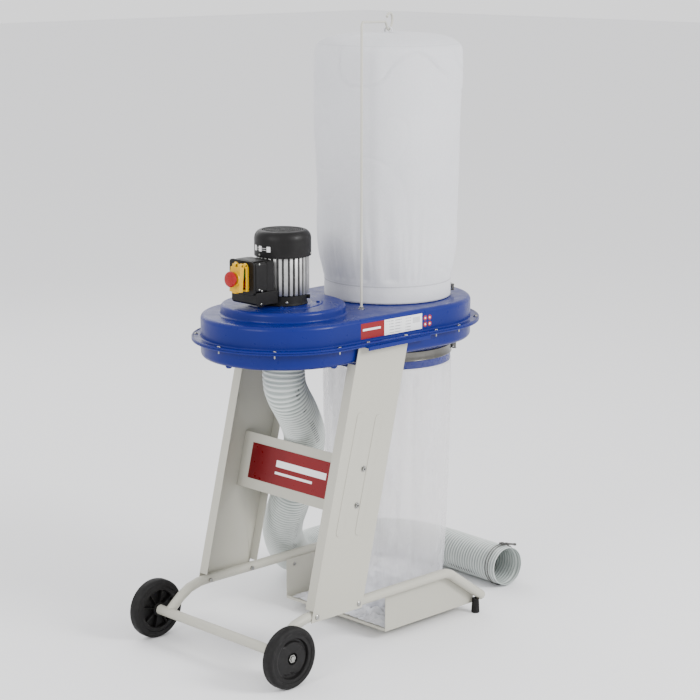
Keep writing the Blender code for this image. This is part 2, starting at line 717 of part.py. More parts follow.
def make_rotor():
    """Everything that turns on the motor's shaft, on one vertical axis."""
    at = (FAN_X, 0, 0)
    build("motor_shaft", rod(SHAFT_R, 0.7430, 1.0200, 20), "steel", at)
    build("motor_rotor", pipe(0.0325, SHAFT_R + GAP, 0.8950, 0.9650, 24), "steel", at)
    blades = []
    for i in range(BLADE_COUNT):
        middle = math.tau * i / BLADE_COUNT
        for radius, half in ((0.0260, -0.0011), (IMPELLER_R, -0.0011)):
            for sign in (1, -1) if radius == IMPELLER_R else (1,):
                turn = middle + sign * half / radius
                blades.append((radius * math.cos(turn), radius * math.sin(turn)))
        turn = middle + 0.0011 / 0.0260
        blades.append((0.0260 * math.cos(turn), 0.0260 * math.sin(turn)))
    impeller = build("impeller", prism(blades, 0.7620, 0.8210), "steel", at)
    combine(impeller, "UNION", "back_plate", rod(IMPELLER_R + 0.001, 0.8200, 0.8220, 40), at)
    combine(impeller, "UNION", "impeller_hub", rod(0.0300, 0.7630, 0.8300, 24), at)
    combine(impeller, "DIFFERENCE", "hub_bore", rod(SHAFT_R + GAP, 0.74, 0.85, 20), at)
    build("impeller_nut", pipe(0.0180, hexagon_bore(SHAFT_R), 0.7500, 0.7617, 6), "zinc", at)
    paddles = []
    for i in range(7):
        middle = math.tau * i / 7
        for radius, offset in ((0.016, -0.18), (0.052, -0.03), (0.052, 0.03), (0.016, 0.18)):
            turn = middle + offset
            paddles.append((radius * math.cos(turn), radius * math.sin(turn)))
    fan = build("cooling_fan", prism(paddles, 0.9960, 1.0150), "black_plastic", at)
    combine(fan, "UNION", "fan_disc", rod(0.0500, 0.9950, 0.9970, 28), at)
    combine(fan, "UNION", "fan_hub", rod(0.0160, 0.9940, 1.0170, 20), at)
    combine(fan, "DIFFERENCE", "fan_bore", rod(SHAFT_R + GAP, 0.98, 1.03, 20), at)


def make_switch():
    """The terminal and capacitor boxes on the motor's front, with the no-volt switch on them."""
    build(
        "terminal_box",
        rounded_box((-0.2460, -0.0430, 0.9042), (-0.2190, 0.0430, 0.9755), 0.005, "Z"),
        "black_plastic",
    )
    enclosure = build(
        "switch_enclosure",
        rounded_box((-0.2800, -0.0445, 0.9042), (-0.2463, 0.0445, 0.9755), 0.006),
        "black_plastic",
    )
    hollow = rounded_box((-0.2900, -0.0420, 0.9067), (-0.2490, 0.0420, 0.9730), 0.004)
    combine(enclosure, "DIFFERENCE", "enclosure_hollow", hollow)
    box = ((-0.2800, 0.8780), (-0.2740, 0.8725), (-0.2110, 0.8725), (-0.2110, 0.9039))
    shape = side_prism(box + ((-0.2800, 0.9039),), -0.0446, 0.0446)
    capacitor_box = build("capacitor_box", shape, "black_plastic")
    saddle = rod(FIN_R + GAP, 0.8600, 0.9200, 32)
    combine(capacitor_box, "DIFFERENCE", "motor_saddle", saddle, (FAN_X, 0, 0))
    gland = pipe(0.0085, 0.0040, 0.0449, 0.0640, 12)
    build("cable_gland", gland, "black_plastic", (-0.2450, 0, 0.8885), "Y")
    lid = build(
        "switch_lid",
        rounded_box((-0.2870, -0.0435, 0.8980), (-0.2803, 0.0435, 0.9790), 0.008),
        "black_plastic",
    )
    y = SWITCH_Y
    base = build(
        "switch_frame",
        rounded_box((-0.2965, y - 0.0240, 0.9060), (-0.2873, y + 0.0240, 0.9705), 0.003),
        "yellow_plastic",
    )
    well = rounded_box((-0.3100, y - 0.0195, 0.9100), (-0.2800, y + 0.0195, 0.9640), 0.003)
    combine(base, "DIFFERENCE", "frame_well", well)
    for name, look, z in (
        ("start_button", "green_plastic", 0.9500),
        ("stop_button", "red_plastic", 0.9240),
    ):
        low, high = (-0.2940, y - 0.0110, z - 0.0090), (-0.2780, y + 0.0110, z + 0.0090)
        build(name, rounded_box(low, high, 0.002, corner_steps=2), look)
        slot_low = (-0.3000, low[1] - 0.0005, low[2] - 0.0005)
        slot_high = (-0.2700, high[1] + 0.0005, high[2] + 0.0005)
        combine(lid, "DIFFERENCE", f"{name}_slot", rounded_box(slot_low, slot_high, 0.002))


def make_stop_flap():
    """The yellow flap, hinged at its top edge and resting a few degrees open, and its red knob."""
    hinge_x, hinge_z = FLAP_HINGE
    lean = Matrix.Rotation(math.radians(FLAP_REST_DEG), 4, "Y")
    y = SWITCH_Y
    flap = build(
        "stop_flap",
        rounded_box((-0.0120, y - 0.0220, -0.0690), (0.0020, y + 0.0220, 0.0020), 0.003),
        "yellow_plastic",
        (hinge_x, 0, hinge_z),
    )
    hollow = rounded_box((-0.0100, y - 0.0200, -0.0670), (0.0100, y + 0.0200, -0.0060), 0.002)
    combine(flap, "DIFFERENCE", "flap_hollow", hollow, (hinge_x, 0, hinge_z))
    knob_hole = rod(0.0065, -0.03, 0.03, 16)
    combine(flap, "DIFFERENCE", "knob_hole", knob_hole, (hinge_x, y, hinge_z - 0.036), "X")
    knob = (
        (0, -0.0325),
        (0.0120, -0.0318),
        (0.0172, -0.0300),
        (0.0190, -0.0270),
        (0.0184, -0.0225),
        (0.0110, -0.0195),
        (0.0060, -0.0185),
        (0.0060, -0.0040),
        (0, -0.0040),
    )
    button = build("stop_knob", turned(knob, 24), "red_plastic", (hinge_x, y, hinge_z - 0.036), "X")
    hinge = Matrix.Translation((hinge_x, 0, hinge_z))
    opened = hinge @ lean @ hinge.inverted()
    cutters = [modifier.object for modifier in flap.modifiers]
    for obj in (flap, button, *cutters):
        obj.matrix_world = opened @ Matrix.Translation(obj.location)


def ring_band(name, radius, width, thickness, z, look):
    shape = pipe(radius + thickness, radius, z - width / 2, z + width / 2, BAG_STEPS)
    return build(name, shape, look, (BAG_X, 0, 0))


def buckle(band, prefix, radius, bearing_deg, z, look):
    """An over-centre lever on a strap band: hinge ears on the band, and the lever between them.

    The lever's origin is on its hinge axis, which runs along Z."""
    turn = Matrix.Rotation(math.radians(bearing_deg), 4, "Z")
    centre = Vector((BAG_X, 0, z))
    for number, sign in enumerate((-1, 1)):
        low, high = sorted((sign * 0.0058, sign * 0.0080))
        outline = [(math.sqrt(radius ** 2 - y ** 2) + 0.0008, y) for y in (-0.0300, -0.0200)]
        outline += [(radius + 0.0110, -0.0200), (radius + 0.0110, -0.0300)]
        helper = combine(band, "UNION", f"{prefix}_ear_{number}", prism(outline, low, high))
        helper.matrix_world = Matrix.Translation(centre) @ turn
    pivot = Vector((radius + 0.0075, -0.0250, 0))
    outline = ((-0.0030, -0.0030), (0.0030, -0.0030), (0.0030, 0.0100), (0.0020, 0.0500))
    outline += ((0.0000, 0.0540), (-0.0020, 0.0540), (-0.0008, 0.0300), (-0.0024, 0.0100))
    lever = build(f"{prefix}_lever", prism(outline, -0.0050, 0.0050), look)
    lever.matrix_world = Matrix.Translation(centre) @ turn @ Matrix.Translation(pivot)



def make_filter_bag():
    """The felt bag over the upper collar, its strap, and the loop that the rod's hook holds."""
    outer = (
        (FILTER_HEM_R, 0.8385),
        (FILTER_HEM_R, 0.8810),
        (0.1665, 0.9050),
        (0.1745, 0.9500),
        (0.1782, 0.9950),
        (0.1805, 1.1200),
        (FILTER_R, 1.3000),
        (FILTER_R, 1.4520),
        (0.1810, 1.4640),
        (0.1700, 1.4740),
        (0.1500, 1.4810),
        (0.1100, 1.4870),
        (0.0500, 1.4885),
        (0.0000, 1.4885),
    )
    inner = []
    for radius, z in outer[::-1]:
        dome = z > 1.46
        inner.append((max(radius - FILTER_T, 0), z - (FILTER_T if dome else 0)))
    bag = build("filter_bag", turned(outer + tuple(inner), BAG_STEPS), "white_felt", (BAG_X, 0, 0))
    notch = block((0.1500, -0.0360, 0.8300), (0.1700, 0.0360, 0.8690))
    helper = combine(bag, "DIFFERENCE", "buckle_notch", notch)
    turn = Matrix.Rotation(math.radians(FILTER_BUCKLE_DEG), 4, "Z")
    helper.matrix_world = Matrix.Translation((BAG_X, 0, 0)) @ turn
    band_r = UPPER_COLLAR_R + 0.0005
    band = ring_band("filter_band", band_r, 0.0200, 0.0016, FILTER_BAND_Z, "steel")
    buckle(band, "filter_band", band_r, FILTER_BUCKLE_DEG, FILTER_BAND_Z, "steel")
    heading = math.atan2(-ROD_FOOT[1], BAG_X - ROD_FOOT[0])
    ring = []
    for i in range(16):
        turn = math.tau * i / 16
        across = 0.0095 * math.cos(turn)
        x = BAG_X - math.sin(heading) * across
        ring.append((x, math.cos(heading) * across, 1.5000 + 0.0095 * math.sin(turn)))
    build("bag_loop", closed_ring(ring, 0.0013), "white_felt")


def closed_ring(path, radius, sides=8):
    """A round bar along a closed loop of points in one plane."""
    path = [Vector(p) for p in path]
    middle = sum(path, Vector()) / len(path)
    normal = (path[0] - middle).cross(path[1] - middle).normalized()
    points, faces = [], []
    for centre in path:
        outward = (centre - middle).normalized()
        for k in range(sides):
            turn = math.tau * k / sides
            points.append(centre + radius * (math.cos(turn) * outward + math.sin(turn) * normal))
    total = len(points)
    for i in range(len(path)):
        for k in range(sides):
            j = (k + 1) % sides
            here, there = i * sides, (i + 1) * sides
            faces.append((here + k, (there + k) % total, (there + j) % total, here + j))
    return points, faces


def make_support_rod():
    """The post that stands on the housing, and the arm on it that hooks into the bag's loop."""
    foot = Vector((*ROD_FOOT, 0))
    heading = (Vector((BAG_X, 0, 0)) - foot).normalized()
    post = ((0.000, 0.8200), (0.000, ROD_SPLIT_Z - GAP / 2))
    arm = (
        (0.000, ROD_SPLIT_Z + GAP / 2),
        (0.000, ROD_TOP_Z - 0.0120),
        (0.004, ROD_TOP_Z - 0.0035),
        (0.012, ROD_TOP_Z),
        (0.192, 1.5225),
        (0.200, 1.5205),
        (0.206, 1.5130),
        (0.213, 1.5050),
        (0.2219, 1.5025),
        (0.236, 1.5050),
        (0.250, 1.5130),
        (0.256, 1.5260),
        (0.250, 1.5375),
        (0.238, 1.5428),
        (0.222, 1.5415),
        (0.209, 1.5340),
    )
    for name, run in (("support_rod", post), ("rod_arm", arm)):
        path = [foot + heading * along + Vector((0, 0, z)) for along, z in run]
        build(name, swept(path, ROD_R, 8), "white_paint")


def make_collection_bag():
    """The clear bag clamped to the lower collar by a strap; it stands in the tray."""
    hem = LOWER_COLLAR_R + 0.0005 + FILM_T
    outer = (
        (0.0000, 0.0275),
        (0.1150, 0.0275),
        (0.1330, 0.0350),
        (0.1450, 0.0600),
        (0.1520, 0.1200),
        (0.1590, 0.3000),
        (0.1640, 0.5000),
        (COLLECTION_R, 0.6300),
        (COLLECTION_R, 0.6600),
        (hem, 0.6800),
        (hem, 0.7290),
    )
    inner = []
    for radius, z in outer[::-1]:
        inner.append((max(radius - FILM_T, 0), z + (0.0015 if z < 0.04 else 0)))
    build("collection_bag", turned(outer + tuple(inner), BAG_STEPS), "clear_film", (BAG_X, 0, 0))
    band_r = hem + GAP
    band = ring_band("collection_band", band_r, 0.0240, 0.0016, COLLECTION_BAND_Z, "steel")
    buckle(band, "collection_band", band_r, COLLECTION_BUCKLE_DEG, COLLECTION_BAND_Z, "steel")


def make_hose():
    """The corrugated suction hose as a plain tube of its outer size, open at both ends."""
    data = bpy.data.curves.new("hose", "CURVE")
    data.dimensions = "3D"
    data.bevel_depth = HOSE_R
    data.bevel_resolution = 4
    data.use_fill_caps = False
    spline = data.splines.new("POLY")
    points = smooth_route(HOSE_ROUTE, HOSE_SPACING)
    spline.points.add(len(points) - 1)
    for place, point in zip(spline.points, points):
        place.co = (*point, 1.0)
    data.materials.append(finish("hose_plastic"))
    hose = bpy.data.objects.new("hose", data)
    bpy.context.scene.collection.objects.link(hose)
    wall = hose.modifiers.new("wall", "SOLIDIFY")
    wall.thickness = HOSE_WALL
    wall.offset = -1.0
    wall.use_rim = True


def make_hose_clamps():
    """Wire clamps: one holds the hose on the inlet spigot, one waits on the hose's open end."""
    inner = HOSE_R + 0.0006
    outer = inner + 0.0024
    clamp = build("inlet_clamp", pipe(outer, inner, 0.7060, 0.7120, 32), "zinc", (FAN_X, 0, 0))
    barrel = rod(0.0035, -0.0170, 0.0170, 10)
    combine(clamp, "UNION", "inlet_barrel", barrel, (FAN_X, -outer - 0.0015, 0.7090), "X")
    route = [Vector(p) for p in HOSE_ROUTE]
    axis = (route[-1] - route[-2]).normalized()
    centre = route[-1] - 0.026 * axis
    clamp = build("hose_end_clamp", pipe(outer, inner, -0.0035, 0.0035, 32), "zinc")
    placed = axis.to_track_quat("Z", "Y").to_matrix().to_4x4()
    clamp.matrix_world = Matrix.Translation(centre) @ placed
    start = centre + Vector((-0.006, 0, outer + 0.0048))
    end = start + Vector((0.066, 0, -0.018))
    combine(clamp, "UNION", "clamp_screw", swept((start, end), 0.0030, 10))


def main():
    clear_scene()
    make_housing()
    make_volute()
    make_brackets()
    make_side_panels()
    make_rails()
    make_cross_panel()
    make_panel_bolts()
    make_tray()
    make_feet()
    make_wheels()
    make_motor()
    make_rotor()
    make_switch()
    make_stop_flap()
    make_filter_bag()
    make_support_rod()
    make_collection_bag()
    make_hose()
    make_hose_clamps()


main()
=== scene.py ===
"""The finished look of a mobile dust collector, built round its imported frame.

Metres, +Z up, +X towards the bag end and -Y the near side, as in the frame."""

import math

import bmesh
import bpy
from mathutils import Matrix, Vector, noise


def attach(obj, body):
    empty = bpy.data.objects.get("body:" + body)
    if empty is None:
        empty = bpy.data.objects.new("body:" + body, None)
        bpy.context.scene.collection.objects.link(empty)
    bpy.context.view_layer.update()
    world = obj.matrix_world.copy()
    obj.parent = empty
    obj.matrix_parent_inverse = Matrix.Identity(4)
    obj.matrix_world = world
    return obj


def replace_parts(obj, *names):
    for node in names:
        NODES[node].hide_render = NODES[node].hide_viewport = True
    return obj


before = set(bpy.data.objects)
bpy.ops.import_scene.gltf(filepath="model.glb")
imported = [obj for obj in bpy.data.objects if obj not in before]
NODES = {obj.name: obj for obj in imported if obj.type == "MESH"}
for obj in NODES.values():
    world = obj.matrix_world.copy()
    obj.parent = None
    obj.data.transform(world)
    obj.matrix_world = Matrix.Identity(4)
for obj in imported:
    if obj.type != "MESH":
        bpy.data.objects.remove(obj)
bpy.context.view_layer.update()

SIDES = (("near", -1), ("far", 1))

# Driving dimensions, as the frame has them
FAN_X = -0.154
BAG_X = 0.206
FAN_WALL_R = 0.2006
BAG_WALL_R = 0.212
FAN_FLANGE_R = 0.223
SHEET = 0.002
FLANGE_T = 0.0025
FLANGE_Z = 0.7786
SEAM_GAP = 0.0003
HOUSING_TOP_Z = 0.8368
HOUSING_BOTTOM_Z = 0.733
EDGE_ROUND = 0.011
DISC_R = 0.152
DISC_TOP_Z = 0.861
INLET_R = 0.0484
INLET_BOTTOM_Z = 0.7
UPPER_COLLAR_R = 0.1565
UPPER_COLLAR_TOP_Z = 0.88
LOWER_COLLAR_R = 0.162
LOWER_COLLAR_BOTTOM_Z = 0.673
AXLE_X = -0.369
WHEEL_R = 0.075
WHEEL_INNER_Y = 0.2316
WHEEL_OUTER_Y = 0.2626
ROD_FOOT = (0.01, -0.104)
ROD_R = 0.0031
ROD_TOP_Z = 1.529
SWITCH_Y = -0.009
FLAP_HINGE = (-0.301, 0.9735)
FLAP_REST_DEG = 4.5
FAN_SCREW_TURNS = (-178, -138, -94, 98, 133)
STRAIGHT_SCREW_X = (-0.0771, 0.0479, 0.1509)
BAG_SCREW_TURNS = (-83, -48, -8, 32, 72)
HOSE_R = 0.0532
RIB_PITCH = 0.01
RIB_DEPTH = 0.0038
HOSE_ROUTE = (
    (-0.154, 0.0, 0.7323),
    (-0.154, 0.0, 0.706),
    (-0.1535, 0.0, 0.678),
    (-0.1475, 0.002, 0.65),
    (-0.129, 0.008, 0.62),
    (-0.091, 0.024, 0.578),
    (-0.047, 0.05, 0.53),
    (-0.022, 0.068, 0.496),
    (-0.0115, 0.082, 0.46),
    (-0.0095, 0.099, 0.406),
    (-0.006, 0.125, 0.35),
    (0.013, 0.166, 0.289),
    (0.034, 0.207, 0.239),
    (0.067, 0.25, 0.186),
    (0.114, 0.292, 0.135),
    (0.164, 0.33, 0.093),
    (0.215, 0.366, 0.0655),
    (0.275, 0.386, 0.0545),
    (0.335, 0.391, 0.0538),
    (0.4, 0.388, 0.0536),
    (0.465, 0.369, 0.0536),
    (0.52, 0.33, 0.0536),
    (0.556, 0.275, 0.0536),
    (0.574, 0.205, 0.0536),
    (0.576, 0.125, 0.0538),
    (0.569, 0.03, 0.0545),
    (0.562, -0.05, 0.0558),
    (0.5565, -0.116, 0.0572),
)
WASHER_T = 0.0012
BOLT_LINE = 0.0125
LUGS = ((-0.34, -0.012), (-0.163, -0.186), (0.34, -0.125), (0.3, 0.16), (-0.27, 0.14))
CROSS_BOLTS = ((-0.088, 0.472), (-0.111, 0.385))
BOX_SCREWS = ((-0.269, 0.9722), (-0.27, 0.911), (-0.262, 0.9075), (-0.264, 0.8762))
INLET_CLAMP_Z = 0.709
COWL_R = 0.069
COWL_TOP_Z = 1.04
RIB_COUNT = 30
HOSE_WALL = 0.0013
HOSE_SIDES = 40
CUFF = 0.018
WHEEL_STEPS = 96
BAG_STEPS = 220
FILM_STEPS = 200
SEAM_TURN = math.radians(-112)
MOTOR_INSIDES = (
    ("motor_top_shield", "cast_aluminium"),
    ("motor_stator", "copper_core"),
    ("lower_bearing", "steel"),
    ("upper_bearing", "steel"),
    ("motor_shaft", "steel"),
    ("motor_rotor", "steel"),
    ("impeller_nut", "zinc"),
)

# Radii of the rings on a wheel's outer face, and its back as (radius, depth)
WHEEL_RINGS = (0.0066, 0.009, 0.0118, 0.0126, 0.015, 0.02, 0.026, 0.032, 0.037, 0.04, 0.0415)
WHEEL_RINGS += (0.043, 0.0445, 0.046, 0.0475, 0.049, 0.05, 0.051, 0.0525, 0.056, 0.0592)
WHEEL_BACK = ((0.0592, 0.0022), (0.057, 0.0016), (0.049, 0.0016), (0.048, 0.003), (0.0474, 0.013))
WHEEL_BACK += ((0.018, 0.013), (0.0172, 0.012), (0.017, 0.0004), (0.0162, 0.0), (0.0066, 0.0))

# The support rod as (distance from its foot, height), from the foot to the end of its hook
ROD_RUN = ((0.0, 0.822), (0.0, 0.95), (0.0, 1.2), (0.0, 1.45), (0.0, ROD_TOP_Z - 0.018))
ROD_RUN += ((0.0005, ROD_TOP_Z - 0.0095), (0.004, ROD_TOP_Z - 0.003))
ROD_RUN += ((0.01, ROD_TOP_Z), (0.018, ROD_TOP_Z))
ROD_RUN += ((0.1, 1.5258), (0.184, 1.5228), (0.192, 1.5222), (0.1985, 1.5205), (0.203, 1.5165))
ROD_RUN += ((0.206, 1.513), (0.213, 1.5058), (0.2219, 1.5027), (0.236, 1.505), (0.2475, 1.512))
ROD_RUN += ((0.2545, 1.52), (0.256, 1.527), (0.2525, 1.5355), (0.246, 1.54), (0.238, 1.5424))
ROD_RUN += ((0.222, 1.5415), (0.209, 1.534))

# Each bag's side as (radius, height)
BAG_PROFILE = ((0.1612, 0.8385), (0.1616, 0.86), (0.1612, 0.881), (0.164, 0.895), (0.1672, 0.91))
BAG_PROFILE += ((0.1712, 0.93), (0.1745, 0.95), (0.177, 0.972), (0.1782, 0.995), (0.179, 1.05))
BAG_PROFILE += ((0.1805, 1.12), (0.1826, 1.21), (0.184, 1.3), (0.1845, 1.39), (0.1845, 1.438))
BAG_PROFILE += ((0.1842, 1.449), (0.1832, 1.457), (0.1808, 1.4636), (0.1765, 1.4696), (0.169, 1.4756))
BAG_PROFILE += ((0.156, 1.4822), (0.136, 1.4878), (0.11, 1.4918), (0.08, 1.4938), (0.05, 1.4944))
BAG_PROFILE += ((0.03, 1.4947), (0.02, 1.495), (0.009, 1.4962))
FILM_PROFILE = ((0.05, 0.029), (0.09, 0.029), (0.115, 0.03), (0.131, 0.037), (0.14, 0.05))
FILM_PROFILE += ((0.146, 0.07), (0.15, 0.1), (0.153, 0.15), (0.156, 0.22), (0.159, 0.3))
FILM_PROFILE += ((0.1615, 0.4), (0.1638, 0.5), (0.1652, 0.58), (0.1656, 0.635), (0.1652, 0.66))
FILM_PROFILE += ((0.1642, 0.674), (0.1634, 0.685), (0.1634, 0.729))


def make_camera():
    data = bpy.data.cameras.new("camera")
    data.lens = 102.1
    data.sensor_width = 36.0
    camera = bpy.data.objects.new("camera", data)
    camera.location = (-3.3496, -3.4935, 1.7334)
    target = Vector((0.0729, 0.0, 0.7096))
    camera.rotation_euler = (target - camera.location).to_track_quat("-Z", "Y").to_euler()
    bpy.context.scene.collection.objects.link(camera)
    bpy.context.scene.camera = camera


# ---------------------------------------------------------------- shapes


def ease(low, high, value):
    t = min(max((value - low) / (high - low), 0.0), 1.0)
    return t * t * (3 - 2 * t)


def turned(profile, steps=48, closed=True):
    """A profile of (radius, height) points turned about Z; a closed one is a solid's section."""
    points, faces, rings = [], [], []
    for radius, height in profile:
        start = len(points)
        if radius == 0:
            points.append((0, 0, height))
            rings.append([start] * steps)
            continue
        for i in range(steps):
            turn = math.tau * i / steps
            points.append((radius * math.cos(turn), radius * math.sin(turn), height))
        rings.append(list(range(start, start + steps)))
    following = rings[1:] + (rings[:1] if closed else [])
    for ring, after in zip(rings, following):
        for i in range(steps):
            j = (i + 1) % steps
            corners = list(dict.fromkeys((ring[i], ring[j], after[j], after[i])))
            if len(corners) > 2:
                faces.append(corners)
    return points, faces


def rod(radius, low, high, steps=24):
    return turned(((0, low), (radius, low), (radius, high), (0, high)), steps)


def pipe(outer, inner, low, high, steps=48):
    return turned(((outer, low), (outer, high), (inner, high), (inner, low)), steps)


def rounded_profile(points, radius, steps=4):
    """A closed profile with its corners rounded, except those on the axis."""
    result = []
    count = len(points)
    for i, point in enumerate(points):
        here = Vector(point)
        if here.x == 0:
            result.append(tuple(here))
            continue
        before, after = Vector(points[i - 1]), Vector(points[(i + 1) % count])
        reach = min(radius, (before - here).length * 0.45, (after - here).length * 0.45)
        start = here + (before - here).normalized() * reach
        end = here + (after - here).normalized() * reach
        for step in range(steps + 1):
            t = step / steps
            result.append(tuple(start.lerp(here, t).lerp(here.lerp(end, t), t)))
    return result


def rounded_disc(radius, thickness, rounding, steps=24):
    """A flat disc standing on z = 0, with its rim's edges rounded."""
    section = ((0, 0), (radius, 0), (radius, thickness), (0, thickness))
    return turned(rounded_profile(section, rounding), steps)


def stacked(loops, ends="capped"):
    """Loops of equal length joined one above the other, with their ends capped, open or joined."""
    count = len(loops[0])
    total = count * len(loops)
    points = [point for loop in loops for point in loop]
    faces = []
    if ends == "capped":
        faces = [list(range(count))[::-1], list(range(total - count, total))]
    for start in range(0, total if ends == "joined" else total - count, count):
        after = (start + count) % total
        for i in range(count):
            j = (i + 1) % count
            faces.append((start + i, start + j, after + j, after + i))
    return points, faces


def ring(radius, z, steps, start=0.0):
    """A loop of points round Z."""
    turns = [start + math.tau * i / steps for i in range(steps)]
    return [(radius * math.cos(turn), radius * math.sin(turn), z) for turn in turns]


def box(low, high):
    x, y, z = zip(low, high)
    outline = ((x[0], y[0]), (x[1], y[0]), (x[1], y[1]), (x[0], y[1]))
    return stacked([[(a, b, height) for a, b in outline] for height in z])


def tube(path, radius, sides=16):
    """A round bar along a path of points."""
    path = [Vector(p) for p in path]
    across = (path[1] - path[0]).normalized().orthogonal().normalized()
    loops = []
    for i, centre in enumerate(path):
        tangent = (path[min(i + 1, len(path) - 1)] - path[max(i - 1, 0)]).normalized()
        across = (across - tangent * across.dot(tangent)).normalized()
        other = tangent.cross(across)
        size = radius(i / (len(path) - 1)) if callable(radius) else radius
        loop = []
        for k in range(sides):
            turn = math.tau * k / sides
            loop.append(tuple(centre + size * (math.cos(turn) * across + math.sin(turn) * other)))
        loops.append(loop)
    return stacked(loops)


def ring_bar(radius, thickness, height=0.0, steps=64, sides=10):
    """A round bar bent into a ring about Z."""
    loops = []
    for i in range(steps):
        turn = math.tau * i / steps
        loop = []
        for k in range(sides):
            lean = math.tau * k / sides
            out = radius + thickness * math.cos(lean)
            loop.append((out * math.cos(turn), out * math.sin(turn), height + thickness * math.sin(lean)))
        loops.append(loop)
    return stacked(loops, "joined")


def threaded(start, end, count, core, crest):
    """A worm screw's threads: a bar whose radius steps out at every other ring."""
    points = [start.lerp(end, i / count) for i in range(count + 1)]
    return tube(points, lambda t: core + crest * (round(t * count) % 2), 10)


def smooth_path(route, spacing, extra=16):
    """Evenly spaced points on a smooth curve through the route's points."""
    ends = [Vector(p) for p in route]
    ends = [2 * ends[0] - ends[1], *ends, 2 * ends[-1] - ends[-2]]
    fine = []
    for a, b, c, d in zip(ends, ends[1:], ends[2:], ends[3:]):
        for step in range(extra):
            t = step / extra
            fine.append(
                0.5 * (2 * b + (c - a) * t + (2 * a - 5 * b + 4 * c - d) * t * t)
                + 0.5 * (3 * b - a - 3 * c + d) * t**3
            )
    fine.append(ends[-2])
    lengths = [0.0]
    for a, b in zip(fine, fine[1:]):
        lengths.append(lengths[-1] + (b - a).length)
    count = max(2, round(lengths[-1] / spacing))
    points, place = [], 0
    for i in range(count + 1):
        target = lengths[-1] * i / count
        while place < len(fine) - 2 and lengths[place + 1] < target:
            place += 1
        share = (target - lengths[place]) / (lengths[place + 1] - lengths[place])
        points.append(fine[place].lerp(fine[place + 1], share))
    return points, lengths[-1]


def moved(shape, matrix):
    points, faces = shape
    return [tuple(matrix @ Vector(p)) for p in points], faces


def at(x, y, z, axis="Z"):
    """The matrix that puts a shape made about Z at a point, with its Z along an axis."""
    turns = {
        "Z": Matrix.Identity(4),
        "-Z": Matrix.Rotation(math.pi, 4, "X"),
        "X": Matrix.Rotation(math.pi / 2, 4, "Y"),
        "-X": Matrix.Rotation(-math.pi / 2, 4, "Y"),
        "Y": Matrix.Rotation(-math.pi / 2, 4, "X"),
        "-Y": Matrix.Rotation(math.pi / 2, 4, "X"),
    }
    return Matrix.Translation((x, y, z)) @ turns[axis]


def outward(sign):
    """The axis that points out of the near or the far side."""
    return "Y" if sign > 0 else "-Y"


def spun(degrees):
    return Matrix.Rotation(math.radians(degrees), 4, "Z")


def around(centre_x, radius, bearing):
    """The point at this bearing in degrees on a circle about (centre_x, 0)."""
    angle = math.radians(bearing)
    return centre_x + radius * math.cos(angle), radius * math.sin(angle)


def joined(shapes):
    points, faces = [], []
    for more, its_faces in shapes:
        start = len(points)
        points.extend(more)
        faces.extend([start + i for i in face] for face in its_faces)
    return points, faces


# ---------------------------------------------------------------- pieces


def mesh_of(name, shape, smooth=35):
    points, faces = shape
    mesh = bpy.data.meshes.new(name)
    mesh.from_pydata([tuple(p) for p in points], [], faces)
    work = bmesh.new()
    work.from_mesh(mesh)
    bmesh.ops.recalc_face_normals(work, faces=work.faces)
    work.to_mesh(mesh)
    work.free()
    mesh.shade_smooth()
    mesh.set_sharp_from_angle(angle=math.radians(smooth))
    return mesh


def piece(name, shape, look, body="frame", smooth=35, bevel=0.0):
    """A visible piece that rides on a body and takes its material from the looks."""
    obj = bpy.data.objects.new(name, mesh_of(name, shape, smooth))
    bpy.context.scene.collection.objects.link(obj)
    obj.data.materials.append(LOOKS[look])
    if bevel:
        soften(obj, bevel)
    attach(obj, body)
    return obj


def soften(obj, width, segments=2, limit=35):
    """Rounded edges by a Bevel, with normals weighted so that flat faces stay flat."""
    edge = obj.modifiers.new("edges", "BEVEL")
    edge.width = width
    edge.segments = segments
    edge.limit_method = "ANGLE"
    edge.angle_limit = math.radians(limit)
    edge.miter_outer = "MITER_ARC"
    weigh = obj.modifiers.new("weighted", "WEIGHTED_NORMAL")
    weigh.keep_sharp = True


def keep_node(name, look, bevel=0.0, smooth=32):
    """A node whose shape is right: a better material, smooth shading and rounded edges."""
    obj = NODES[name]
    obj.data.materials.clear()
    obj.data.materials.append(LOOKS[look])
    weld = obj.modifiers.new("weld", "WELD")
    weld.merge_threshold = 0.00001
    if bevel:
        soften(obj, bevel)
    obj.data.shade_smooth()
    obj.data.set_sharp_from_angle(angle=math.radians(smooth))
    return obj


def cut(obj, operation, shape):
    """Adds or cuts a shape, and keeps only the result."""
    other = bpy.data.objects.new("cutter", mesh_of("cutter", shape))
    bpy.context.scene.collection.objects.link(other)
    step = obj.modifiers.new("cut", "BOOLEAN")
    step.operation = operation
    step.object = other
    bpy.context.view_layer.update()
    graph = bpy.context.evaluated_depsgraph_get()
    mesh = bpy.data.meshes.new_from_object(obj.evaluated_get(graph))
    obj.modifiers.clear()
    obj.data = mesh
    bpy.data.objects.remove(other)


def repaint(obj, look):
    """Leaves one material on a piece whose cutters brought their own."""
    obj.data.materials.clear()
    obj.data.materials.append(LOOKS[look])


def bolt_head(width=0.01, height=0.004, washer=0.0):
    """A hexagon head standing on z = 0, with its washer under it."""
    shapes = [rounded_disc(washer, WASHER_T, 0.0004, 28)] if washer else []
    base = WASHER_T if washer else 0.0
    reach = width / math.sqrt(3)
    levels = ((1.0, base), (1.0, base + height * 0.82), (0.86, base + height))
    shapes.append(stacked([ring(reach * share, z, 6) for share, z in levels]))
    return joined(shapes)


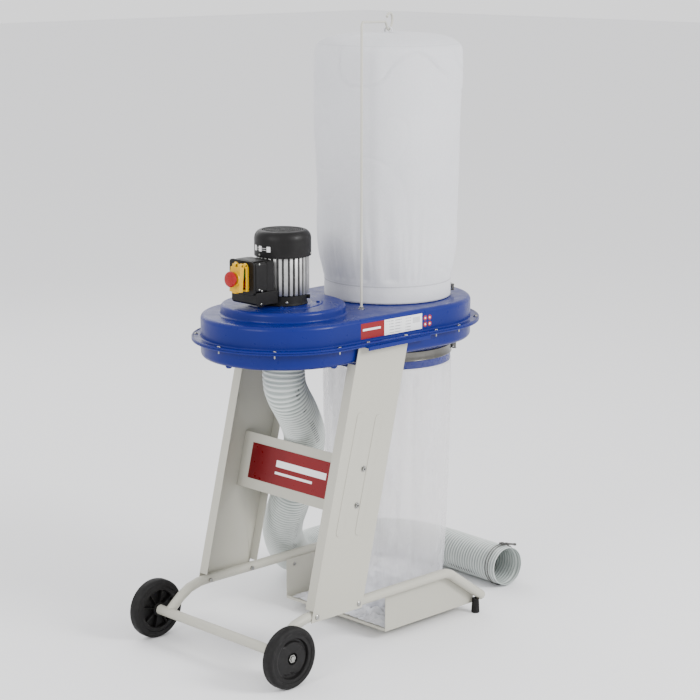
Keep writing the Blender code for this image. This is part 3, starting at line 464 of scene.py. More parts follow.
def pan_head(radius=0.0045, height=0.0026):
    """A domed screw head standing on z = 0, and the arms of its cross recess as thin plates for painted
    shade.
    """
    dome = [(0, 0), (radius, 0)]
    for step in range(5):
        turn = step / 5 * math.pi / 2
        dome.append((radius * math.cos(turn) ** 0.6, height * (0.35 + 0.65 * math.sin(turn))))
    dome += [(radius * 0.22, height * 0.97), (radius * 0.16, height * 0.45), (0, height * 0.4)]
    low = (radius * 0.14, -radius * 0.1, height * 0.93)
    high = (radius * 0.62, radius * 0.1, height * 1.03)
    arms = [moved(box(low, high), spun(90 * quarter)) for quarter in range(4)]
    return turned(dome, 24), joined(arms)


def nut_and_tip(width=0.0085, thread=0.0024, length=0.009):
    """A nut on z = 0 with the end of its screw standing out."""
    tip = ((0, 0), (thread, 0), (thread, length - 0.0008), (thread * 0.7, length), (0, length))
    return joined([bolt_head(width, 0.0038), turned(tip, 14)])


# ---------------------------------------------------------------- materials


class Look:
    """A Principled material with short calls for the nodes that feed it."""

    def __init__(self, name, colour, roughness, metallic=0.0, **values):
        self.material = bpy.data.materials.new(name)
        self.material.use_nodes = True
        self.tree = self.material.node_tree
        self.shader = self.tree.nodes["Principled BSDF"]
        self.colour = (*colour, 1.0)
        self.shader.inputs["Base Color"].default_value = self.colour
        self.shader.inputs["Roughness"].default_value = roughness
        self.shader.inputs["Metallic"].default_value = metallic
        for socket, value in values.items():
            self.shader.inputs[socket.replace("_", " ")].default_value = value
        self.roughness = roughness
        self.place = self.node("ShaderNodeTexCoord").outputs["Object"]
        self.bump = None
        LOOKS[name] = self.material

    def node(self, kind, **settings):
        made = self.tree.nodes.new(kind)
        for key, value in settings.items():
            setattr(made, key, value)
        return made

    def link(self, source, target):
        self.tree.links.new(source, target)
        return self

    def noise(self, scale, detail=3.0, stretch=None, rough=0.5):
        """A noise value from 0 to 1 at this scale, stretched along axes when asked."""
        place = self.place
        if stretch:
            mapping = self.node("ShaderNodeMapping")
            mapping.inputs["Scale"].default_value = stretch
            self.link(place, mapping.inputs["Vector"])
            place = mapping.outputs["Vector"]
        texture = self.node("ShaderNodeTexNoise")
        texture.inputs["Scale"].default_value = scale
        texture.inputs["Detail"].default_value = detail
        texture.inputs["Roughness"].default_value = rough
        self.link(place, texture.inputs["Vector"])
        return texture.outputs["Fac"]

    def spread(self, value, low, high, to_low=0.0, to_high=1.0):
        """The value taken from one range to another, held at its ends."""
        made = self.node("ShaderNodeMapRange")
        for key, number in (
            ("From Min", low),
            ("From Max", high),
            ("To Min", to_low),
            ("To Max", to_high),
        ):
            made.inputs[key].default_value = number
        self.link(value, made.inputs["Value"])
        return made.outputs["Result"]

    def math(self, operation, first, second=0.0):
        made = self.node("ShaderNodeMath", operation=operation)
        for socket, value in zip(made.inputs, (first, second)):
            if isinstance(value, (int, float)):
                socket.default_value = value
            else:
                self.link(value, socket)
        return made.outputs["Value"]

    def times(self, first, *others):
        """The product of all these values."""
        for other in others:
            first = self.math("MULTIPLY", first, other)
        return first

    def either(self, first, second):
        return self.math("MAXIMUM", first, second)

    def blend(self, share, first, second, mode="MIX"):
        """Two colours mixed by a share."""
        made = self.node("ShaderNodeMix", data_type="RGBA", blend_type=mode)
        for socket, value in ((0, share), (6, first), (7, second)):
            if isinstance(value, (int, float, tuple)):
                made.inputs[socket].default_value = value
            else:
                self.link(value, made.inputs[socket])
        return made.outputs[2]

    def tint(self, other, share):
        """The base colour so far, mixed with another by a share."""
        socket = self.shader.inputs["Base Color"]
        before = socket.links[0].from_socket if socket.links else self.colour
        self.link(self.blend(share, before, (*other, 1.0)), socket)
        return self

    def rough(self, value, low, high):
        self.link(self.spread(value, 0.3, 0.7, low, high), self.shader.inputs["Roughness"])
        return self

    def relief(self, height, depth, strength=1.0):
        """Bump of this depth in metres, added to any before it."""
        made = self.node("ShaderNodeBump")
        made.inputs["Strength"].default_value = strength
        made.inputs["Distance"].default_value = depth
        self.link(height, made.inputs["Height"])
        if self.bump:
            self.link(self.bump, made.inputs["Normal"])
        self.bump = made.outputs["Normal"]
        self.link(self.bump, self.shader.inputs["Normal"])
        return self

    def axis(self, letter):
        """One coordinate of the point, in metres."""
        parts = self.node("ShaderNodeSeparateXYZ")
        self.link(self.place, parts.inputs["Vector"])
        return parts.outputs[letter]

    def within(self, value, low, high, soft=0.0002):
        """1 inside a range of a coordinate, 0 outside it."""
        above = self.spread(value, low - soft, low + soft)
        return self.times(above, self.spread(value, high - soft, high + soft, 1.0, 0.0))


LOOKS = {}


def paint(name, colour, roughness, light, dark, orange_peel=0.00001, specular=0.4):
    look = Look(name, colour, roughness, Specular_IOR_Level=specular, Coat_Roughness=0.12)
    look.tint(dark, look.spread(look.noise(3.0, 2.0), 0.35, 0.75, 0.0, 0.35))
    look.tint(light, look.spread(look.noise(14.0, 5.0), 0.55, 0.85, 0.0, 0.25))
    look.rough(look.noise(40.0, 4.0), roughness * 0.85, min(roughness * 1.25, 1.0))
    look.relief(look.noise(420.0, 2.0), orange_peel)


def plastic(name, colour, roughness, grain=0.00004, scale=1400.0, specular=0.4):
    look = Look(name, colour, roughness, Specular_IOR_Level=specular)
    lighter = tuple(min(c * 1.5 + 0.01, 1.0) for c in colour)
    darker = tuple(c * 0.75 for c in colour)
    look.tint(lighter, look.spread(look.noise(60.0, 5.0), 0.5, 0.85, 0.0, 0.35))
    look.tint(darker, look.spread(look.noise(9.0, 3.0), 0.45, 0.8, 0.0, 0.4))
    look.rough(look.noise(90.0, 4.0), roughness * 0.85, min(roughness * 1.2, 1.0))
    look.relief(look.noise(scale, 2.0), grain)


def metal(name, colour, roughness, stretch=None, depth=0.00003, scale=300.0):
    look = Look(name, colour, roughness, 1.0)
    darker = tuple(c * 0.62 for c in colour)
    look.tint(darker, look.spread(look.noise(70.0, 6.0), 0.4, 0.8, 0.0, 0.6))
    look.rough(look.noise(50.0, 5.0, stretch), roughness * 0.7, min(roughness * 1.4, 1.0))
    look.relief(look.noise(scale, 3.0, stretch), depth)
    return look


def make_looks():
    blue = (0.0022, 0.0095, 0.135)
    paint("blue_paint", blue, 0.3, (0.004, 0.015, 0.17), (0.0015, 0.006, 0.09), 0.000006, 0.2)
    grey, light, dark = (0.44, 0.43, 0.37), (0.49, 0.48, 0.42), (0.38, 0.37, 0.315)
    paint("grey_paint", grey, 0.42, light, dark, 0.00001, 0.3)
    paint("white_paint", (0.5, 0.49, 0.43), 0.32, (0.58, 0.57, 0.52), (0.4, 0.39, 0.34))
    metal("zinc", (0.36, 0.36, 0.34), 0.26)
    metal("dark_zinc", (0.15, 0.148, 0.14), 0.3)
    metal("steel", (0.23, 0.22, 0.2), 0.24, (1.0, 1.0, 30.0))
    metal("strap_steel", (0.13, 0.126, 0.115), 0.22, (1.0, 1.0, 30.0))
    make_casting_look()
    metal("copper_core", (0.4, 0.16, 0.08), 0.4, (1.0, 1.0, 20.0), 0.0002)
    plastic("black_plastic", (0.0052, 0.0048, 0.0048), 0.44, specular=0.2)
    plastic("black_rubber", (0.007, 0.0066, 0.0066), 0.6, 0.00006, 800.0, 0.2)
    plastic("yellow_plastic", (0.62, 0.35, 0.0002), 0.36, specular=0.3)
    plastic("red_plastic", (0.28, 0.003, 0.004), 0.28, specular=0.3)
    plastic("green_plastic", (0.01, 0.24, 0.04), 0.32)
    # painted shade for recesses: near-black plates on screw slots and bolt sockets
    plastic("painted_recess_shade", (0.003, 0.003, 0.0032), 0.7, specular=0.1)
    make_sign_look()
    make_label_looks()
    make_felt_look()
    make_film_look()
    make_hose_look()


def make_casting_look():
    """Cast aluminium, with painted shade in the grooves between the motor's bright ribs."""
    look = metal("cast_aluminium", (0.5, 0.5, 0.49), 0.46, (1.0, 1.0, 0.15), 0.00005, 500.0)
    across = look.math("SUBTRACT", look.axis("X"), FAN_X)
    square = look.math("ADD", look.math("POWER", across, 2.0), look.math("POWER", look.axis("Y"), 2.0))
    depth = look.math("SQRT", square)
    # painted shade: the grooves between the fins darkened by their distance from the motor's axis
    look.tint((0.12, 0.12, 0.122), look.spread(depth, 0.059, 0.0632, 0.8, 0.0))


def make_sign_look():
    """Red enamel plate with painted shade towards the far side, and a long and a short white bar."""
    look = Look("sign_red", (0.17, 0.003, 0.006), 0.3, Specular_IOR_Level=0.3)
    y, z = look.axis("Y"), look.axis("Z")
    # painted shade: the plate darkened towards the far side
    look.tint((0.095, 0.002, 0.004), look.spread(y, 0.0, 0.15, 0.0, 0.9))
    look.tint((0.21, 0.008, 0.01), look.spread(look.noise(20.0, 4.0), 0.5, 0.8, 0.0, 0.3))
    long_bar = look.times(look.within(y, -0.105, 0.075), look.within(z, 0.427, 0.443))
    short_bar = look.times(look.within(y, -0.06, 0.075), look.within(z, 0.409, 0.415))
    look.tint((0.86, 0.85, 0.84), look.either(long_bar, short_bar))
    look.rough(look.noise(60.0, 4.0), 0.26, 0.38)
    look.relief(look.noise(380.0, 2.0), 0.000008)


def make_label_looks():
    """Printed film: a red field with a white bar, and a white field with grey rules and bars."""
    red = Look("label_red", (0.2, 0.003, 0.006), 0.28, Specular_IOR_Level=0.3)
    bar = red.times(red.within(red.axis("X"), -0.083, -0.025), red.within(red.axis("Z"), 0.808, 0.813))
    red.tint((0.9, 0.88, 0.86), bar)
    red.tint((0.25, 0.01, 0.01), red.spread(red.noise(120.0, 4.0), 0.5, 0.8, 0.0, 0.3))
    red.relief(red.noise(500.0, 2.0), 0.00002)
    white = Look("label_white", (0.8, 0.8, 0.8), 0.3)
    x, z = white.axis("X"), white.axis("Z")
    rows = white.math("FRACT", white.math("DIVIDE", white.math("SUBTRACT", z, 0.789), 0.0072))
    ruled = white.within(rows, 0.35, 0.62, 0.05)
    broken = white.spread(white.noise(260.0, 1.0, (1.0, 1.0, 0.05)), 0.42, 0.5)
    left = white.within(x, -0.008, 0.048, 0.0004)
    right = white.within(x, 0.056, 0.076, 0.0004)
    rules = white.times(ruled, broken, white.either(left, right), white.within(z, 0.7915, 0.8225))
    bars = white.spread(white.math("FRACT", white.times(x, 330.0)), 0.45, 0.55)
    bars = white.times(bars, white.within(x, 0.082, 0.106), white.within(z, 0.806, 0.82))
    white.tint((0.16, 0.16, 0.18), white.times(white.either(rules, bars), 0.8))
    white.relief(white.noise(500.0, 2.0), 0.00002)
    plastic("label_plain", (0.78, 0.78, 0.78), 0.35)
    plastic("label_dot", (0.3, 0.012, 0.008), 0.35)


def make_felt_look():
    """Needle felt: fuzzy fibres, slow changes of tone, and painted shade along the lines of its two seams.
    """
    look = Look(
        "white_felt",
        (0.61, 0.615, 0.64),
        0.9,
        Specular_IOR_Level=0.2,
        Sheen_Weight=0.15,
        Sheen_Roughness=0.5,
    )
    look.tint((0.52, 0.525, 0.555), look.spread(look.noise(5.0, 3.0), 0.35, 0.75, 0.0, 0.55))
    fluff = look.noise(240.0, 5.0, None, 0.7)
    look.tint((0.7, 0.7, 0.715), look.spread(fluff, 0.45, 0.75, 0.0, 0.5))
    look.rough(look.noise(90.0, 3.0), 0.8, 0.96)
    look.relief(look.noise(38.0, 4.0), 0.0009, 0.55)
    look.relief(look.noise(520.0, 6.0, (1.0, 1.0, 0.35), 0.75), 0.00035, 0.8)
    height = look.axis("Z")
    # darker towards the bottom of the felt, broken up by a noise
    low_darkening = look.spread(height, 0.835, 0.9, 0.3, 0.0)
    look.tint((0.46, 0.46, 0.48), look.times(low_darkening, look.noise(30.0, 4.0)))
    # painted shade: grey lines along the hem seam and the top seam
    top_seam_shade = look.times(look.within(height, 1.4694, 1.4706, 0.0006), 0.45)
    seams = look.either(look.within(height, 0.8796, 0.8822, 0.0006), top_seam_shade)
    look.tint((0.3, 0.3, 0.32), look.times(seams, 0.55))


def make_film_look():
    """Milky polythene: clear below its strap, cloudier on the collar and in its creases, with painted shade
    in the creases.
    """
    look = Look("clear_film", (0.8, 0.775, 0.79), 0.22, Specular_IOR_Level=0.5)
    creases = look.noise(16.0, 5.0, (1.0, 1.0, 0.3), 0.6)
    height = look.axis("Z")
    # painted shade: a grey-blue tint in the creases
    look.tint((0.64, 0.65, 0.69), look.spread(creases, 0.45, 0.7, 0.0, 0.5))
    look.tint((0.7, 0.73, 0.8), look.spread(height, 0.1, 0.24, 0.55, 0.0))
    cloudy = look.spread(height, 0.668, 0.674, 0.4, 0.04)
    tray = look.spread(height, 0.06, 0.13, 0.3, 0.0)
    folded = look.spread(creases, 0.5, 0.68, 0.0, 0.2)
    below = look.spread(height, 0.668, 0.674, 1.0, 0.0)
    extra = look.times(look.math("ADD", tray, folded), below)
    look.link(look.math("ADD", cloudy, extra), look.shader.inputs["Alpha"])
    look.rough(look.noise(20.0, 3.0), 0.14, 0.32)
    look.relief(creases, 0.01, 0.5)
    look.relief(look.noise(70.0, 4.0, (1.0, 1.0, 0.35), 0.6), 0.0016, 0.6)


def make_hose_look():
    """Ribbed suction hose: pale ribs over a greener wall, darkened in the valleys partly as painted shade,
    and a broken line of painted crease shadows along it.
    """
    look = Look("hose_plastic", (0.6, 0.635, 0.612), 0.32, Specular_IOR_Level=0.4)
    parts = look.node("ShaderNodeSeparateXYZ")
    look.link(look.node("ShaderNodeUVMap").outputs["UV"], parts.inputs["Vector"])
    turn, along = parts.outputs["X"], parts.outputs["Y"]
    phase = look.math("FRACT", look.math("ADD", along, turn))
    valley = look.spread(look.math("ABSOLUTE", look.math("SUBTRACT", phase, 0.5)), 0.13, 0.3)
    # the valleys darker: partly the wall's own greener tone, partly painted shade
    look.tint((0.25, 0.29, 0.278), look.times(valley, 0.85))
    look.tint((0.68, 0.7, 0.685), look.spread(look.noise(25.0, 4.0), 0.5, 0.8, 0.0, 0.35))
    # painted shadow: dark dashes along one line, in the valleys between the ribs
    crease_shadows = look.spread(look.noise(22.0, 2.0), 0.5, 0.56)
    look.tint((0.05, 0.055, 0.055), look.times(look.within(turn, 0.245, 0.285, 0.004), crease_shadows, valley))
    look.rough(look.noise(60.0, 4.0), 0.26, 0.42)
    look.relief(look.noise(300.0, 3.0), 0.00005)


# ---------------------------------------------------------------- hose


def make_hose():
    """The suction hose: a helical rib along its whole length, open at both ends."""
    centres, length = smooth_path(HOSE_ROUTE, RIB_PITCH / 6)
    rings = len(centres)
    step = length / (rings - 1)
    across = Vector((1, 0, 0))
    frames = []
    for i, centre in enumerate(centres):
        tangent = (centres[min(i + 1, rings - 1)] - centres[max(i - 1, 0)]).normalized()
        across = (across - tangent * across.dot(tangent)).normalized()
        frames.append((centre, across.copy(), tangent.cross(across)))
    points = []
    for depth in (0.0, HOSE_WALL):
        for i, (centre, one, other) in enumerate(frames):
            for k in range(HOSE_SIDES):
                angle = math.tau * k / HOSE_SIDES
                size = hose_radius(i * step, length, k / HOSE_SIDES, depth)
                points.append(centre + size * (math.cos(angle) * one + math.sin(angle) * other))
    mesh = bpy.data.meshes.new("suction_hose")
    cells = hose_cells(rings)
    faces = [[(skin * rings + i) * HOSE_SIDES + k % HOSE_SIDES for skin, i, k, _ in cell] for cell in cells]
    mesh.from_pydata([tuple(p) for p in points], [], faces)
    layer = mesh.uv_layers.new(name="UVMap")
    corners = [(k / HOSE_SIDES + shift, i * step / RIB_PITCH) for cell in cells for _, i, k, shift in cell]
    layer.data.foreach_set("uv", [value for corner in corners for value in corner])
    work = bmesh.new()
    work.from_mesh(mesh)
    bmesh.ops.recalc_face_normals(work, faces=work.faces)
    work.to_mesh(mesh)
    work.free()
    mesh.shade_smooth()
    mesh.materials.append(LOOKS["hose_plastic"])
    hose = bpy.data.objects.new("suction_hose", mesh)
    bpy.context.scene.collection.objects.link(hose)
    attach(hose, "frame")
    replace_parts(hose, "hose")
    make_end_clamp()


def hose_radius(along, length, turn, depth):
    """The hose's radius at a place on it: a rib that climbs as it turns, and a plain cuff at each end."""
    from_end = min(along, length - along)
    plain = ease(CUFF, CUFF - 0.006, from_end)
    if plain > 0.5:
        return HOSE_R - 0.001 - depth * 1.3
    phase = (along / RIB_PITCH + turn) % 1.0
    rib = ease(0.16, 0.42, phase) * ease(0.84, 0.58, phase)
    return HOSE_R - 0.0003 - RIB_DEPTH * (1 - rib) * (1 - plain) - depth


def hose_cells(rings):
    """The hose's faces, each corner as (skin, ring, side, shift of its texture)."""
    cells = []
    for skin in (0, 1):
        for i in range(rings - 1):
            for k in range(HOSE_SIDES):
                steps = ((0, 0), (0, 1), (1, 1), (1, 0))
                cell = [(skin, i + up, k + beside, 2 * skin) for up, beside in steps]
                cells.append(cell[::-1] if skin else cell)
    for i in (0, rings - 1):
        for k in range(HOSE_SIDES):
            cells.append([(0, i, k, 0), (0, i, k + 1, 0), (1, i, k + 1, 0), (1, i, k, 0)])
    return cells


def make_end_clamp():
    """The loose wire clamp round the hose's free end, with its long worm screw."""
    route = [Vector(p) for p in HOSE_ROUTE]
    axis = (route[-1] - route[-2]).normalized()
    centre = route[-1] - 0.026 * axis
    placed = Matrix.Translation(centre) @ axis.to_track_quat("Z", "Y").to_matrix().to_4x4()
    inner = HOSE_R + 0.0006
    shapes = [moved(ring_bar(inner + 0.0012, 0.0012, z, 72, 8), placed) for z in (-0.0046, 0.0046)]
    top = centre + Vector((-0.006, 0, inner + 0.0072))
    end = top + Vector((0.066, 0, -0.018))
    heading = (end - top).normalized()
    shapes.append(threaded(top, end, 44, 0.0026, 0.0005))
    for share, width, size in ((0.16, 0.008, 0.0042), (0.42, 0.005, 0.004), (0.95, 0.006, 0.004)):
        middle = top.lerp(end, share)
        shapes.append(tube((middle - heading * width / 2, middle + heading * width / 2), size, 6))
    saddle = top.lerp(end, 0.1)
    shapes.append(tube([saddle + Vector((0, y, -0.001)) for y in (0.0045, -0.0045)], 0.0022, 8))
    clamp = piece("hose_clamp_end", joined(shapes), "dark_zinc")
    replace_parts(clamp, "hose_end_clamp")
    return clamp


def make_inlet_clamp():
    """The wire clamp on the fan's inlet."""
    inner = HOSE_R + 0.0006
    place = at(FAN_X, 0, INLET_CLAMP_Z)
    shapes = [moved(ring_bar(inner + 0.0012, 0.0011, z, 72, 8), place) for z in (-0.0019, 0.0019)]
    start, end = (Vector((FAN_X + x, -inner - 0.004, INLET_CLAMP_Z)) for x in (-0.017, 0.017))
    shapes.append(threaded(start, end, 22, 0.0018, 0.0003))
    for x in (-0.009, 0.009):
        screw = rod(0.003, -0.0028, 0.0028, 6)
        shapes.append(moved(screw, at(FAN_X + x, -inner - 0.004, INLET_CLAMP_Z, "X")))
    clamp = piece("hose_clamp_inlet", joined(shapes), "dark_zinc")
    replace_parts(clamp, "inlet_clamp")


# ---------------------------------------------------------------- housing


def two_lobe(fan_r, bag_r, fan_steps=56, bag_steps=56):
    """The outline of a belt round the fan's circle and the bags' circle."""
    tangent = math.acos((fan_r - bag_r) / (BAG_X - FAN_X))
    outline = []
    for i in range(bag_steps + 1):
        turn = tangent * (2 * i / bag_steps - 1)
        outline.append((BAG_X + bag_r * math.cos(turn), bag_r * math.sin(turn)))
    for i in range(fan_steps + 1):
        turn = tangent + (math.tau - 2 * tangent) * i / fan_steps
        outline.append((FAN_X + fan_r * math.cos(turn), fan_r * math.sin(turn)))
    return outline


def shell(levels):
    """A solid of two-lobe sections; each level is how far in from the wall, and its height."""
    loops = []
    for inset, z in levels:
        outline = two_lobe(FAN_WALL_R - inset, BAG_WALL_R - inset)
        loops.append([(x, y, z) for x, y in outline])
    return stacked(loops)


def corner(inset, z, radius, down, steps=7):
    """Levels of a rounded edge that ends flat at height z; down is -1 below an upper face."""
    levels = []
    for step in range(steps + 1):
        turn = step / steps * math.pi / 2
        levels.append((inset + radius * (1 - math.cos(turn)), z + down * radius * (1 - math.sin(turn))))
    return levels


def flange_levels(face_z, up):
    """Levels from the flange's joint face, over its rolled rim, to the wall; up is 1 or -1."""
    reach = -(FAN_FLANGE_R - FAN_WALL_R)
    levels = [(reach + 0.0006, face_z), (reach, face_z + up * 0.0008), (reach, face_z + up * 0.003)]
    levels += [(reach + 0.0008, face_z + up * 0.0042), (reach + 0.0024, face_z + up * 0.0046)]
    levels += [(reach + 0.004, face_z + up * 0.0038), (reach + 0.0052, face_z + up * FLANGE_T)]
    levels += [(-0.005, face_z + up * FLANGE_T), (-0.0022, face_z + up * (FLANGE_T + 0.0008))]
    levels += [(-0.0006, face_z + up * (FLANGE_T + 0.0024)), (0.0, face_z + up * (FLANGE_T + 0.0052))]
    return levels


def make_upper_shell():
    seam = FLANGE_Z + SEAM_GAP
    levels = flange_levels(seam, 1) + corner(0.0, HOUSING_TOP_Z, EDGE_ROUND, -1)
    upper = bpy.data.objects.new("upper_shell", mesh_of("upper_shell", shell(levels)))
    bpy.context.scene.collection.objects.link(upper)
    top = HOUSING_TOP_Z
    disc = [(0, top - SHEET / 2), (DISC_R + 0.006, top - SHEET / 2), (DISC_R + 0.006, top + 0.0002)]
    disc += [(DISC_R + 0.003, top + 0.0008), (DISC_R + 0.001, top + 0.0024), (DISC_R, top + 0.005)]
    disc += [(DISC_R - 0.0004, DISC_TOP_Z - 0.009)]
    for step in range(6):
        turn = (step + 1) / 6 * math.pi / 2
        disc.append((DISC_R - 0.0094 + 0.009 * math.cos(turn), DISC_TOP_Z - 0.009 + 0.009 * math.sin(turn)))
    disc.append((0, DISC_TOP_Z))
    cut(upper, "UNION", moved(turned(disc, 128), at(FAN_X, 0, 0)))
    collar = [(0, top - SHEET / 2), (UPPER_COLLAR_R + 0.004, top - SHEET / 2)]
    collar += [(UPPER_COLLAR_R + 0.004, top + 0.0002), (UPPER_COLLAR_R + 0.0012, top + 0.0012)]
    collar += [(UPPER_COLLAR_R, top + 0.004), (UPPER_COLLAR_R, UPPER_COLLAR_TOP_Z), (0, UPPER_COLLAR_TOP_Z)]
    cut(upper, "UNION", moved(turned(collar, 120), at(BAG_X, 0, 0)))
    hollow = [(SHEET, seam - SHEET)] + corner(SHEET, top - SHEET, EDGE_ROUND, -1, 4)
    cut(upper, "DIFFERENCE", shell(hollow))
    under = ((0, top - 0.012), (DISC_R - SHEET, top - 0.012), (DISC_R - SHEET, DISC_TOP_Z - 0.01))
    under += ((DISC_R - 0.011, DISC_TOP_Z - SHEET), (0, DISC_TOP_Z - SHEET))
    cut(upper, "DIFFERENCE", moved(turned(under, 96), at(FAN_X, 0, 0)))
    mouth = rod(UPPER_COLLAR_R - SHEET, top - 0.012, UPPER_COLLAR_TOP_Z + 0.002, 120)
    cut(upper, "DIFFERENCE", moved(mouth, at(BAG_X, 0, 0)))
    cut(upper, "DIFFERENCE", moved(rod(0.02, DISC_TOP_Z - 0.02, DISC_TOP_Z + 0.02, 40), at(FAN_X, 0, 0)))
    cut(upper, "DIFFERENCE", moved(rod(ROD_R + 0.0003, top - 0.02, top + 0.02, 20), at(*ROD_FOOT, 0)))
    finish_shell(upper, "upper_housing")


def finish_shell(obj, node):
    obj.data.shade_smooth()
    obj.data.set_sharp_from_angle(angle=math.radians(28))
    weigh = obj.modifiers.new("weighted", "WEIGHTED_NORMAL")
    weigh.keep_sharp = True
    obj.data.materials.clear()
    obj.data.materials.append(LOOKS["blue_paint"])
    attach(obj, "frame")
    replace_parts(obj, node)


def make_lower_shell():
    seam = FLANGE_Z - SEAM_GAP
    levels = flange_levels(seam, -1) + corner(0.0, HOUSING_BOTTOM_Z, EDGE_ROUND, 1)
    lower = bpy.data.objects.new("lower_shell", mesh_of("lower_shell", shell(levels)))
    bpy.context.scene.collection.objects.link(lower)
    bottom = HOUSING_BOTTOM_Z
    collar = ((0, LOWER_COLLAR_BOTTOM_Z), (LOWER_COLLAR_R, LOWER_COLLAR_BOTTOM_Z))
    collar += ((LOWER_COLLAR_R, bottom - 0.004),)
    collar += ((LOWER_COLLAR_R + 0.0012, bottom - 0.0012), (LOWER_COLLAR_R + 0.004, bottom + 0.0001))
    collar += ((LOWER_COLLAR_R + 0.004, bottom + SHEET / 2), (0, bottom + SHEET / 2))
    cut(lower, "UNION", moved(turned(collar, 120), at(BAG_X, 0, 0)))
    cut(lower, "UNION", moved(rod(INLET_R, INLET_BOTTOM_Z, bottom + SHEET / 2, 64), at(FAN_X, 0, 0)))
    hollow = corner(SHEET, bottom + SHEET, EDGE_ROUND, 1, 4)[::-1] + [(SHEET, seam + SHEET)]
    cut(lower, "DIFFERENCE", shell(hollow))
    mouth = rod(LOWER_COLLAR_R - SHEET, LOWER_COLLAR_BOTTOM_Z - SHEET, bottom + 0.012, 120)
    cut(lower, "DIFFERENCE", moved(mouth, at(BAG_X, 0, 0)))
    bore = rod(INLET_R - SHEET, INLET_BOTTOM_Z - SHEET, bottom + 0.012, 64)
    cut(lower, "DIFFERENCE", moved(bore, at(FAN_X, 0, 0)))
    finish_shell(lower, "lower_housing")


def flange_places():
    """Points along the flange's bolt line, a little inside its rim."""
    fan_r, bag_r = FAN_WALL_R + BOLT_LINE, BAG_WALL_R + BOLT_LINE
    slope = (bag_r - fan_r) / (BAG_X - FAN_X)
    places = [around(FAN_X, fan_r, bearing) for bearing in FAN_SCREW_TURNS]
    for side in (-1, 1):
        for x in STRAIGHT_SCREW_X:
            places.append((x, side * (fan_r + slope * (x - FAN_X)) / math.cos(math.atan(slope))))
    return places + [around(BAG_X, bag_r, bearing) for bearing in BAG_SCREW_TURNS]


def make_flange_screws():
    heads, slots, nuts = [], [], []
    washer = rounded_disc(0.0058, 0.001, 0.0003)
    nut = nut_and_tip(0.0066, 0.002, 0.01)
    head, slot = pan_head(0.0042, 0.0026)
    top = FLANGE_Z + SEAM_GAP + FLANGE_T
    bottom = FLANGE_Z - SEAM_GAP - FLANGE_T
    for number, (x, y) in enumerate(flange_places()):
        turn = Matrix.Rotation(number * 0.7, 4, "Z")
        heads.append(moved(washer, at(x, y, top)))
        heads.append(moved(head, at(x, y, top + 0.001) @ turn))
        slots.append(moved(slot, at(x, y, top + 0.001) @ turn))
        nuts.append(moved(nut, at(x, y, bottom, "-Z") @ turn))
    piece("flange_screws", joined(heads + nuts), "zinc")
    # painted shade in the screw slots
    piece("flange_screw_slots", joined(slots), "painted_recess_shade")


def make_housing_details():
    """Lugs under the lower shell, the motor's pad and its screws, and the rod's nut."""
    lug = ((0, 0), (0.009, 0), (0.006, -0.006), (0, -0.0062))
    lug = turned(rounded_profile(lug, 0.002), 24)
    lugs = [moved(lug, at(x, y, HOUSING_BOTTOM_Z + 0.0006)) for x, y in LUGS]
    piece("housing_lugs", joined(lugs), "blue_paint")
    bolts = []
    for bearing in (45, 135, 225, 315):
        x, y = around(FAN_X, 0.084, bearing)
        bolts.append(moved(bolt_head(0.0085, 0.0034, 0.0072), at(x, y, DISC_TOP_Z)))
    piece("motor_pad_screws", joined(bolts), "blue_paint")
    pad = ((0.066, 0), (0.098, 0), (0.094, 0.0016), (0.07, 0.0016))
    pad = turned(rounded_profile(pad, 0.001), 96)
    piece("motor_pad", moved(pad, at(FAN_X, 0, DISC_TOP_Z - 0.0002)), "blue_paint")
    nut = bolt_head(0.01, 0.005, 0.008)
    piece("rod_nut", moved(nut, at(*ROD_FOOT, HOUSING_TOP_Z)), "zinc")


def wall_y(x):
    """The near wall's outer face, on the straight between the two lobes."""
    slope = (BAG_WALL_R - FAN_WALL_R) / (BAG_X - FAN_X)
    return -(FAN_WALL_R + slope * (x - FAN_X)) / math.cos(math.atan(slope))


def make_housing_label():
    """The rating label on the near wall, and four small round signs beside it."""
    for name, look, slot, low, high in (
        ("label_field_red", "label_red", "sign_red", -0.0895, -0.0127),
        ("label_field_white", "label_white", "white_paint", -0.0125, 0.1143),
    ):
        loops = []
        for z in (0.7885, 0.8265):
            near = [(x, wall_y(x) - 0.0001, z) for x in (high, low)]
            loops.append(near + [(x, wall_y(x) - 0.0004, z) for x in (low, high)])
        piece(name, stacked(loops), look)
    for name, look, slot, radius, low, steps in (
        ("label_round_signs", "label_dot", "sign_red", 0.0064, 0.0001, 32),
        ("label_sign_marks", "label_plain", "white_paint", 0.0024, 0.0003, 24),
    ):
        disc = rod(radius, low, low + 0.0003, steps)
        spots = [(x, z) for x in (0.1255, 0.1408) for z in (0.798, 0.8135)]
        piece(name, joined([moved(disc, at(x, wall_y(x), z, "-Y")) for x, z in spots]), look)


# ---------------------------------------------------------------- stand


def make_stand():
    for name in ("side_panel_near", "side_panel_far", "cross_panel", "base_tray"):
        keep_node(name, "grey_paint", 0.0006)
    for name in ("rail_near", "rail_far", "axle_tube"):
        keep_node(name, "grey_paint", 0.0004, 40)
    keep_node("sign_plate", "sign_red", 0.0003)
    for name in ("housing_bracket_near", "housing_bracket_far"):
        keep_node(name, "blue_paint", 0.0007)
    keep_node("volute_strip", "blue_paint", 0.0)
    for end in ("front", "rear"):
        for side, _ in SIDES:
            keep_node(f"rail_bolt_{end}_{side}", "zinc", 0.0003)
    for side, _ in SIDES:
        keep_node(f"foot_{side}", "black_rubber", 0.0006)
        keep_node(f"axle_nut_{side}", "zinc", 0.0004)
    keep_node("wheel_axle", "zinc", 0.0004)
    make_cross_bolts()
    make_tray_screws()


